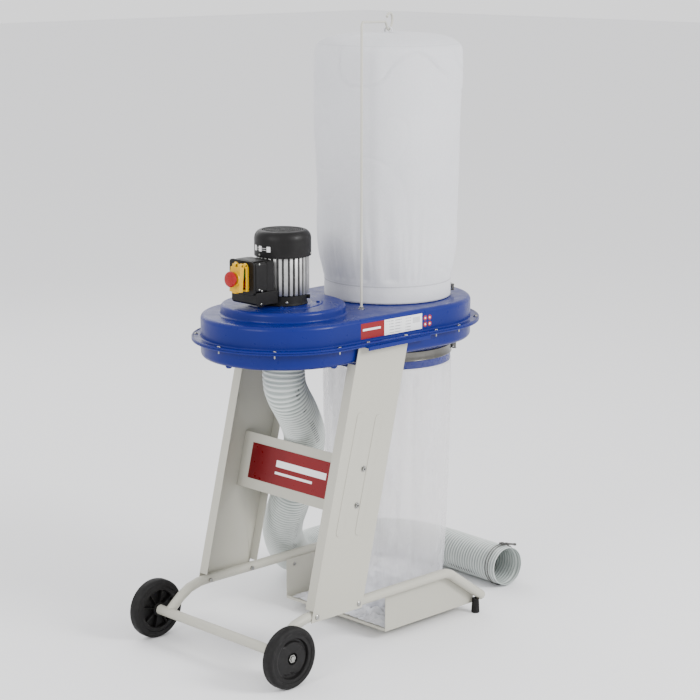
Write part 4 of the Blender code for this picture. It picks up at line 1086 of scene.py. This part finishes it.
def make_cross_bolts():
    """The four bolts that hold the cross panel between the side panels."""
    heads, sockets = [], []
    for _, sign in SIDES:
        for x, z in CROSS_BOLTS:
            heads.append(moved(bolt_head(0.01, 0.0036, 0.0078), at(x, sign * 0.2104, z, outward(sign))))
            heads.append(moved(nut_and_tip(0.009, 0.0026, 0.0075), at(x, sign * 0.2062, z, outward(-sign))))
            # a small dark hexagon on each head: painted shade for its socket
            sockets.append(moved(bolt_head(0.0048, 0.0012), at(x, sign * 0.2143, z, outward(sign))))
    piece("cross_panel_bolts", joined(heads), "zinc")
    piece("cross_bolt_sockets", joined(sockets), "painted_recess_shade")


def make_tray_screws():
    head, _ = pan_head(0.0048, 0.0026)
    places = [at(x, sign * 0.1811, 0.112, outward(-sign)) for _, sign in SIDES for x in (0.045, 0.185)]
    piece("tray_screws", joined([moved(head, place) for place in places]), "zinc")


def wheel_depth(radius, angle, width):
    """How far in the wheel's outer face lies: a crescent groove round a raised middle, and a sunk hub."""
    groove_in = 0.0405 - 0.0055 * math.exp(-(((angle - 1.62) / 0.36) ** 2))
    groove_in -= 0.003 * math.exp(-(((angle + 0.55) / 0.3) ** 2))
    there = ease(groove_in, groove_in + 0.0022, radius) * (1 - ease(0.0478, 0.05, radius))
    share = ease(-2.45, -1.95, angle) * (1 - ease(1.95, 2.45, angle))
    hub = 1 - ease(0.0126, 0.015, radius)
    island = 0.0012 * (1 - ease(0.0475, 0.05, radius))
    return width - 0.002 - island - 0.005 * there * share - 0.0078 * hub


# ---------------------------------------------------------------- wheels


def make_wheel(side, sign):
    """A moulded wheel: a dished face with a crescent groove outside, eight ribs inside."""
    width = WHEEL_OUTER_Y - WHEEL_INNER_Y
    loops = []
    for radius in WHEEL_RINGS:
        loop = []
        for k, (x, y, _) in enumerate(ring(radius, 0, WHEEL_STEPS, -math.pi)):
            loop.append((x, y, wheel_depth(radius, math.tau * k / WHEEL_STEPS - math.pi, width)))
        loops.append(loop)
    loops += [ring(radius, z, WHEEL_STEPS, -math.pi) for radius, z in WHEEL_BACK]
    shapes = [stacked(loops, "joined")]
    rib = box((0.0165, -0.0009, 0.0028), (0.0478, 0.0009, 0.0135))
    shapes += [moved(rib, spun(45 * (number + 0.3))) for number in range(8)]
    facing = Matrix.Scale(sign, 4, (0, 1, 0)) @ Matrix.Rotation(-math.pi / 2, 4, "X")
    placed = Matrix.Translation((AXLE_X, sign * WHEEL_INNER_Y, WHEEL_R)) @ facing
    body = f"wheel_{side}"
    rim = piece(f"wheel_disc_{side}", moved(joined(shapes), placed), "black_plastic", body, smooth=30)
    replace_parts(rim, body)
    section = [(0.0594, 0.0006), (0.066, 0.0), (0.069, 0.0002), (0.07, 0.0012), (0.0722, 0.0026)]
    section += [(0.0742, 0.0052), (0.075, 0.009), (0.075, width - 0.009), (0.0742, width - 0.0052)]
    section += [(0.0722, width - 0.0026), (0.07, width - 0.0012), (0.069, width - 0.0002)]
    section += [(0.066, width), (0.063, width - 0.0002), (0.0612, width - 0.001), (0.0594, width - 0.0012)]
    tread = moved(turned(section, 128), placed)
    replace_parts(piece(f"tyre_tread_{side}", tread, "black_rubber", body, smooth=30), f"tyre_{side}")


def make_axle_ends():
    tip = turned(((0, 0), (0.0058, 0), (0.0058, 0.002), (0.0046, 0.0026), (0, 0.0026)), 24)
    places = [at(AXLE_X, sign * 0.2597, WHEEL_R, outward(sign)) for _, sign in SIDES]
    piece("axle_tips", joined([moved(tip, place) for place in places]), "zinc")


# ---------------------------------------------------------------- motor


def make_motor():
    base = DISC_TOP_Z + SEAM_GAP
    axis = at(FAN_X, 0, 0)
    shield = ((0.0175, base), (0.06, base), (0.06, base + 0.0022), (0.0578, base + 0.004))
    shield += ((0.0578, 0.885), (0.056, 0.8862), (0.0175, 0.8862))
    shapes = [moved(turned(rounded_profile(shield, 0.0008, 3), 96), axis)]
    lug = moved(rod(0.005, 0.054, 0.0655, 20), at(0, 0, 0.876, "X"))
    shapes += [moved(lug, axis @ spun(turn)) for turn in (-44, 136)]
    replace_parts(piece("drive_end_shield", joined(shapes), "black_plastic"), "motor_end_shield")
    head, _ = pan_head(0.0034, 0.002)
    places = [axis @ spun(turn) @ at(0.0576, 0, 0.87, "X") for turn in (-123.6, 56.4)]
    piece("end_shield_screws", joined([moved(head, place) for place in places]), "zinc")
    make_finned_body()
    make_cowl()
    for name, look in MOTOR_INSIDES:
        keep_node(name, look, 0.0003)
    keep_node("impeller", "steel", 0.0002)
    keep_node("cooling_fan", "black_plastic", 0.0004)


def make_finned_body():
    """Cast ribs round the motor, some of them wide where the tie bolts pass."""
    outline = []
    samples = 12
    for k in range(RIB_COUNT * samples):
        t = k % samples / samples
        edge = 0.1 if k // samples % 6 == 1 else 0.2
        rise = ease(edge - 0.07, edge + 0.05, t) * (1 - ease(1 - edge - 0.05, 1 - edge + 0.07, t))
        turn = math.tau * k / (RIB_COUNT * samples)
        radius = 0.057 + 0.0068 * rise
        outline.append((radius * math.cos(turn), radius * math.sin(turn)))
    low, high = 0.8867, 0.9778
    levels = ((0.994, low), (1.0, low + 0.0006), (1.0, high - 0.0006), (0.994, high))
    loops = [[(x * share, y * share, z) for x, y in outline] for share, z in levels]
    loops += [ring(0.0526, z, len(outline)) for z in (high, low)]
    shape = moved(stacked(loops, "joined"), at(FAN_X, 0, 0))
    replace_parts(piece("finned_body", shape, "cast_aluminium", smooth=50), "motor_housing")


def make_cowl():
    """The fan's cover: a deep cap with a round shoulder and a grille of rings in its top."""
    top, wall, rise = COWL_TOP_Z, 0.0018, 0.021
    profile = [(COWL_R - wall, 0.9782), (COWL_R, 0.9782), (COWL_R, top - rise)]
    for step in range(1, 11):
        turn = step / 10 * math.pi / 2
        profile.append((COWL_R - 0.017 + 0.017 * math.cos(turn), top - rise + rise * math.sin(turn)))
    profile += [(0.0505, top), (0.05, top - 0.0004), (0.05, top - wall)]
    for step in range(8):
        turn = (1 - step / 8) * math.pi / 2
        profile.append((COWL_R - 0.0174 + 0.0156 * math.cos(turn), 1.018 + 0.0202 * math.sin(turn)))
    profile += [(COWL_R - wall, 1.018)]
    shapes = [turned(profile, 96)]
    for number in range(9):
        radius = 0.006 + 0.005 * number
        shapes.append(pipe(radius + 0.0011, radius - 0.0011, top - 0.0018, top - 0.0002, 64))
    for number in range(16):
        reach_in = 0.004 if number % 2 == 0 else 0.02
        spoke = box((reach_in, -0.001, top - 0.0024), (0.051, 0.001, top - 0.0006))
        shapes.append(moved(spoke, spun(22.5 * number)))
    shapes.append(rod(0.0062, top - 0.0022, top - 0.0001, 32))
    cover = moved(joined(shapes), at(FAN_X, 0, 0))
    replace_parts(piece("fan_cover", cover, "black_plastic", smooth=30), "fan_cowl")
    head, slot = pan_head(0.0032, 0.0018)
    places = [at(FAN_X, 0, 0) @ spun(turn) @ at(COWL_R - 0.0002, 0, 0.9835, "X") for turn in (-186, -56, 54)]
    piece("cowl_screws", joined([moved(head, place) for place in places]), "zinc")
    # painted shade in the screw slots
    piece("cowl_screw_slots", joined([moved(slot, place) for place in places]), "painted_recess_shade")
    labels = [cowl_patch(turn, 0.005, 0.993, 1.006) for turn in (-201, -183.5, -162)]
    for turn, half in ((-192, 0.015), (-172, 0.013)):
        labels += [cowl_patch(turn, half, z, z + 0.0007) for z in (0.9965, 1.001)]
    piece("cowl_labels", joined(labels), "label_plain")


def cowl_patch(turn, half, low, high):
    """A thin curved label on the cowl's side, this far each way from its middle."""
    loops = []
    for z in (low, high):
        inner, outside = [], []
        for step in range(7):
            angle = math.radians(turn) + (step / 3 - 1) * half / COWL_R
            for radius, row in ((COWL_R + 0.00005, inner), (COWL_R + 0.0003, outside)):
                row.append((radius * math.cos(angle), radius * math.sin(angle), z))
        loops.append(outside + inner[::-1])
    return moved(stacked(loops), at(FAN_X, 0, 0))


def make_switch():
    for name in ("terminal_box", "switch_enclosure", "capacitor_box", "switch_lid"):
        keep_node(name, "black_plastic", 0.0014)
    keep_node("cable_gland", "black_plastic", 0.0005)
    keep_node("start_button", "green_plastic", 0.0008)
    keep_node("stop_button", "red_plastic", 0.0008)
    keep_node("stop_knob", "red_plastic", 0.0008, 40)
    ridge = box((-0.276, -0.033, 0.9753), (-0.238, 0.033, 0.9785))
    piece("box_ridge", ridge, "black_plastic", bevel=0.0012)
    make_switch_frame()
    nuts = []
    for low, high, size in ((0.0449, 0.05, 0.0115), (0.053, 0.06, 0.0108)):
        loops = [ring(size, z, 6) for z in (low, high)] + [ring(0.009976, z, 6) for z in (high, low)]
        nuts.append(moved(stacked(loops, "joined"), at(-0.245, 0, 0.8885, "Y")))
    piece("gland_nuts", joined(nuts), "black_plastic", bevel=0.0004)
    head, slot = pan_head(0.0026, 0.0012)
    places = [at(x, sign * 0.0446, z, outward(sign)) for x, z in BOX_SCREWS for _, sign in SIDES]
    piece("box_screws", joined([moved(head, place) for place in places]), "zinc")
    # painted shade in the screw slots
    piece("box_screw_slots", joined([moved(slot, place) for place in places]), "painted_recess_shade")
    make_flap()


def make_switch_frame():
    """The yellow frame on the lid, open in the middle for the two buttons."""
    low, high = SWITCH_Y - 0.0185, SWITCH_Y + 0.0205
    shape = box((-0.296, low, 0.9075), (-0.2872, high, 0.967))
    frame_piece = piece("yellow_frame", shape, "yellow_plastic")
    cut(frame_piece, "DIFFERENCE", box((-0.31, low + 0.004, 0.9115), (-0.28, high - 0.004, 0.962)))
    soften(frame_piece, 0.001, 3)
    repaint(frame_piece, "yellow_plastic")
    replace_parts(frame_piece, "switch_frame")
    ears = []
    hinge_z = FLAP_HINGE[1] - 0.002
    for y in (low + 0.003, high - 0.003):
        ears.append(moved(rod(0.0042, y - 0.0028, y + 0.0028, 20), at(-0.2965, 0, hinge_z, "Y")))
        ears.append(box((-0.2985, y - 0.0028, 0.964), (-0.29, y + 0.0028, hinge_z)))
    piece("hinge_ears", joined(ears), "yellow_plastic", bevel=0.0003)


def make_flap():
    """The flap with its hinge lugs, catch and the round boss that its knob stands in."""
    hinge_x, hinge_z = FLAP_HINGE
    lean = Matrix.Rotation(math.radians(FLAP_REST_DEG), 4, "Y")
    placed = Matrix.Translation((hinge_x, SWITCH_Y, hinge_z)) @ lean
    knob_axis = placed @ at(0, 0, -0.036, "X")
    shape = moved(box((-0.0115, -0.0165, -0.067), (0.001, 0.0185, -0.0075)), placed)
    plate = piece("yellow_flap", shape, "yellow_plastic", "stop_flap")
    cut(plate, "DIFFERENCE", moved(box((-0.0092, -0.0145, -0.065), (0.01, 0.0165, -0.0095)), placed))
    cut(plate, "DIFFERENCE", moved(rod(0.0066, -0.03, 0.03, 40), knob_axis))
    soften(plate, 0.0012, 3)
    repaint(plate, "yellow_plastic")
    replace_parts(plate, "stop_flap")
    boss = ((0.008, -0.011), (0.008, -0.0138), (0.013, -0.0146), (0.0162, -0.0144), (0.0172, -0.011))
    shapes = [moved(turned(boss, 56), knob_axis)]
    for low, high in ((-0.015, -0.006), (0.004, 0.013)):
        shapes.append(moved(rod(0.0046, low, high, 24), placed @ at(-0.002, 0, -0.0035, "Y")))
        shapes.append(moved(box((-0.011, low, -0.011), (-0.002, high, -0.0005)), placed))
    shapes.append(moved(box((-0.0118, -0.007, -0.07), (-0.004, 0.009, -0.066)), placed))
    piece("flap_boss", joined(shapes), "yellow_plastic", "stop_flap", bevel=0.0004)


# ---------------------------------------------------------------- bags


def profile_points(profile, spacing):
    """Evenly spaced (radius, height) points along a smooth profile."""
    path, _ = smooth_path([(r, 0.0, z) for r, z in profile], spacing)
    return [(p.x, p.z) for p in path]


def bag_shift(radius, turn, out, z):
    """How far in or out the felt lies at a place: puckers over the hem, dents, folds and seams."""
    side = ease(1.482, 1.452, z)
    spot = out * 0.18 + Vector((0, 0, z))
    pucker = noise.noise(Vector((out.x * 5.2, out.y * 5.2, z * 2.2)))
    pucker += 0.6 * noise.noise(Vector((out.x * 11.0, out.y * 11.0, z * 3.5 + 4)))
    hem = ease(0.882, 0.9, z) * (1 - ease(0.92, 1.16, z))
    top = ease(1.3, 1.44, z) * side
    dent = noise.noise(spot * 6.0 + Vector((3.1, 0.4, 0))) * 0.0044 + noise.noise(spot * 17.0) * 0.0014
    crease = abs(noise.noise(spot * 9.0 + Vector((0, 7.7, 1.3))))
    fold = -0.0042 * (1 - ease(0.0, 0.08, crease))
    shift = -abs(pucker) * 0.0085 * hem + dent * ease(0.885, 0.95, z) + fold * (top * 0.9 + 0.25 * side)
    shift *= 0.25 + 0.75 * ease(0.884, 0.9, z)
    shift += (dent * 0.6 - shift) * ease(1.462, 1.476, z)
    seam = math.exp(-(((z - 0.8815) / 0.0012) ** 2)) * 0.0013
    seam += math.exp(-(((z - 1.47) / 0.0014) ** 2)) * 0.0008
    strip = (turn - SEAM_TURN + math.pi) % math.tau - math.pi
    seam += 0.0011 * math.exp(-((strip * 0.18 / 0.0016) ** 2)) * side
    return shift - seam - 0.0006


def make_filter_bag():
    """The felt bag: puckered above its hem, softly dented, with a flat seam round its top."""
    loops = []
    for radius, z in profile_points(BAG_PROFILE, 0.0045):
        loop = []
        for k in range(BAG_STEPS):
            turn = math.tau * k / BAG_STEPS
            out = Vector((math.cos(turn), math.sin(turn), 0))
            size = max(radius + bag_shift(radius, turn, out, z), 0.002)
            lift = noise.noise((out * 0.18 + Vector((0, 0, z))) * 8.0) * 0.003 * ease(1.475, 1.485, z)
            loop.append((BAG_X + size * out.x, size * out.y, z + lift))
        loops.append(loop)
    points, faces = stacked(loops, "open")
    top = len(points)
    points.append((BAG_X, 0, 1.4965))
    faces += [(top - BAG_STEPS + k, top - BAG_STEPS + (k + 1) % BAG_STEPS, top) for k in range(BAG_STEPS)]
    bag = piece("felt_filter_bag", (points, faces), "white_felt", smooth=80)
    wall = bag.modifiers.new("wall", "SOLIDIFY")
    wall.thickness = 0.0012
    wall.offset = -1.0
    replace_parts(bag, "filter_bag")
    make_bag_stitches()
    make_bag_loop()


def make_bag_stitches():
    """Thread in short stitches along the hem's two lines."""
    shapes = []
    count, radius = 150, 0.1606
    for z in (0.8835, 0.879):
        for number in range(count):
            path = []
            for step, out in enumerate((radius - 0.0002, radius + 0.0004, radius - 0.0002)):
                angle = math.tau * (number + step / 2 * 0.62) / count
                path.append((BAG_X + out * math.cos(angle), out * math.sin(angle), z))
            shapes.append(tube(path, 0.00035, 5))
    piece("bag_stitches", joined(shapes), "white_felt")


def make_bag_loop():
    """A webbing loop sewn to the bag's top, which hangs on the rod's hook."""
    heading = math.atan2(-ROD_FOOT[1], BAG_X - ROD_FOOT[0])
    along = Vector((math.cos(heading), math.sin(heading), 0))
    beside = Vector((-math.sin(heading), math.cos(heading), 0))
    middle = Vector((BAG_X, 0, 1.5))
    loops = []
    for i in range(25):
        turn = math.radians(-60 + 12.5 * i)
        reach = beside * 0.0095 * math.cos(turn) + Vector((0, 0, 0.01 * math.sin(turn)))
        thick = reach.normalized() * 0.0007
        corners = ((1, 1), (-1, 1), (-1, -1), (1, -1))
        loops.append([tuple(middle + reach + along * 0.0045 * a + thick * b) for a, b in corners])
    loop = piece("webbing_loop", stacked(loops), "white_felt", smooth=60)
    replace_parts(loop, "bag_loop")
    patch = ((0, 1.4925), (0.02, 1.4915), (0.02, 1.495), (0, 1.4965))
    patch = turned(rounded_profile(patch, 0.001), 48)
    piece("loop_patch", moved(patch, at(BAG_X, 0, 0)), "white_felt")


def make_strap(name, node, radius, z, width, bearing=-38.0):
    """A stainless strap with rolled edges, its buckle base and the toggle lever's rounded shape."""
    half = width / 2
    profile = [(radius, z - half), (radius + 0.0008, z - half), (radius + 0.0016, z - half + 0.0012)]
    profile += [(radius + 0.001, z - half + 0.003), (radius + 0.001, z + half - 0.003)]
    profile += [(radius + 0.0016, z + half - 0.0012), (radius + 0.0008, z + half), (radius, z + half)]
    shapes = [
        box((radius + 0.0006, -0.03, z + low), (radius + 0.0108, -0.02, z + low + 0.0022))
        for low in (-0.008, 0.0058)
    ]
    shapes.append(box((radius + 0.0006, -0.03, z - 0.008), (radius + 0.002, -0.006, z + 0.008)))
    shapes.append(box((radius + 0.0008, 0.03, z - 0.006), (radius + 0.006, 0.034, z + 0.006)))
    shapes.append(moved(rod(0.0016, z - 0.0088, z + 0.0088, 14), at(radius + 0.0075, -0.025, 0)))
    ring_shape = moved(turned(profile, 128), at(BAG_X, 0, 0))
    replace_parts(piece(name, ring_shape, "strap_steel", smooth=50), node)
    buckle = moved(joined(shapes), at(BAG_X, 0, 0) @ spun(bearing))
    piece(f"{name}_buckle", buckle, "dark_zinc", bevel=0.0004)
    keep_node(f"{node}_lever", "dark_zinc", 0.0005)


def make_straps():
    make_strap("filter_strap", "filter_band", UPPER_COLLAR_R + 0.0005, 0.856, 0.02)
    make_strap("collection_strap", "collection_band", LOWER_COLLAR_R + 0.002, 0.705, 0.024)


def make_support_rod():
    """The bent rod that holds up the filter bag, with its hook curled under and over the bag's loop."""
    foot = Vector((*ROD_FOOT, 0))
    heading = (Vector((BAG_X, 0, 0)) - foot).normalized()
    route = [foot + heading * along + Vector((0, 0, z)) for along, z in ROD_RUN]
    path, _ = smooth_path(route, 0.0025)
    obj = piece("bag_rod", tube(path, ROD_R - 0.00005, 20), "white_paint", smooth=60)
    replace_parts(obj, "support_rod", "rod_arm")


def make_collection_bag():
    """The clear bag: soft vertical folds below its strap, crumpled where it stands in the tray."""
    loops = []
    for radius, z in profile_points(FILM_PROFILE, 0.006):
        loop = []
        free = ease(0.672, 0.64, z)
        low = 1 - ease(0.06, 0.22, z)
        for k in range(FILM_STEPS):
            turn = math.tau * k / FILM_STEPS
            out = Vector((math.cos(turn), math.sin(turn), 0))
            spot = out * 0.16 + Vector((0, 0, z))
            folds = noise.noise(Vector((out.x * 4.2, out.y * 4.2, z * 1.1 + 9.0)))
            folds += 0.5 * noise.noise(Vector((out.x * 10.0, out.y * 10.0, z * 2.0)))
            crumple = noise.noise(spot * 13.0 + Vector((0, 0, 5.0))) + 0.6 * noise.noise(spot * 31.0)
            creases = 1 - ease(0.0, 0.14, abs(noise.noise(spot * 10.0 + Vector((2.2, 0, 0)))))
            shift = -abs(folds) * 0.0055 * free - abs(crumple) * 0.015 * low * free
            shift -= creases * 0.0022 * free * (0.4 + low)
            size = radius + shift - 0.0003
            lift = max(0.0, noise.noise(spot * 22.0)) * 0.006 if z < 0.06 else 0.0
            loop.append((BAG_X + size * out.x, size * out.y, z + lift))
        loops.append(loop)
    points, faces = stacked(loops, "open")
    middle = len(points)
    points.append((BAG_X, 0, 0.029))
    faces += [(k, (k + 1) % FILM_STEPS, middle) for k in range(FILM_STEPS)]
    bag = piece("film_collection_bag", joined(((points, faces), film_folds())), "clear_film", smooth=80)
    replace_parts(bag, "collection_bag")


def film_folds():
    """The slack of the bag's foot, crumpled over the tray's floor."""
    count = 90
    points, faces = [], []
    for i in range(count + 1):
        for k in range(count + 1):
            u, v = i / count, k / count
            wobble = 0.006 * noise.noise(Vector((u * 9.0, v * 9.0, 0.7)))
            x = 0.028 + 0.3 * u + wobble * (1 - abs(2 * u - 1))
            y = -0.172 + 0.344 * v + wobble * (1 - abs(2 * v - 1))
            spot = Vector((x, y, 0)) * 22.0
            ridge = 1 - ease(0.0, 0.3, abs(noise.noise(spot)))
            ridge += 0.6 * (1 - ease(0.0, 0.3, abs(noise.noise(spot * 2.1 + Vector((3, 0, 1))))))
            rim = min(u, 1 - u, v, 1 - v) * 6.0
            z = 0.0285 + 0.013 * ridge * min(rim + 0.15, 1.0)
            z += 0.012 * min(rim, 1.0) * (0.5 + noise.noise(spot * 0.35))
            points.append((x, y, max(z, 0.028)))
    for i in range(count):
        for k in range(count):
            a = i * (count + 1) + k
            faces.append((a, a + 1, a + count + 2, a + count + 1))
    return points, faces


# ---------------------------------------------------------------- surroundings


def make_surroundings():
    floor_mesh = mesh_of("floor", box((-30, -30, -0.02), (30, 30, -0.0001)))
    floor = bpy.data.objects.new("floor", floor_mesh)
    bpy.context.scene.collection.objects.link(floor)
    material = bpy.data.materials.new("floor_white")
    material.use_nodes = True
    shader = material.node_tree.nodes["Principled BSDF"]
    shader.inputs["Base Color"].default_value = (0.86, 0.86, 0.87, 1.0)
    shader.inputs["Roughness"].default_value = 0.9
    floor_mesh.materials.append(material)
    world = bpy.data.worlds.new("studio")
    world.use_nodes = True
    background = world.node_tree.nodes["Background"]
    background.inputs["Color"].default_value = (0.99, 0.99, 1.0, 1.0)
    background.inputs["Strength"].default_value = 1.45
    bpy.context.scene.world = world
    for name, place, size, power in (
        ("key", (1.4, -4.2, 3.0), 1.6, 230.0),
        ("side", (-4.4, -0.6, 2.6), 1.8, 90.0),
        ("back", (1.2, 3.4, 3.0), 2.8, 40.0),
    ):
        data = bpy.data.lights.new(name, "AREA")
        data.size = size
        data.energy = power
        lamp = bpy.data.objects.new(name, data)
        lamp.location = place
        aim = Vector((0, 0, 0.8)) - lamp.location
        lamp.rotation_euler = aim.to_track_quat("-Z", "Y").to_euler()
        bpy.context.scene.collection.objects.link(lamp)


def main():
    make_camera()
    make_looks()
    make_hose()
    make_inlet_clamp()
    make_upper_shell()
    make_lower_shell()
    make_flange_screws()
    make_housing_details()
    make_housing_label()
    make_stand()
    for side, sign in SIDES:
        make_wheel(side, sign)
    make_axle_ends()
    make_motor()
    make_switch()
    make_filter_bag()
    make_straps()
    make_support_rod()
    make_collection_bag()
    make_surroundings()


main()
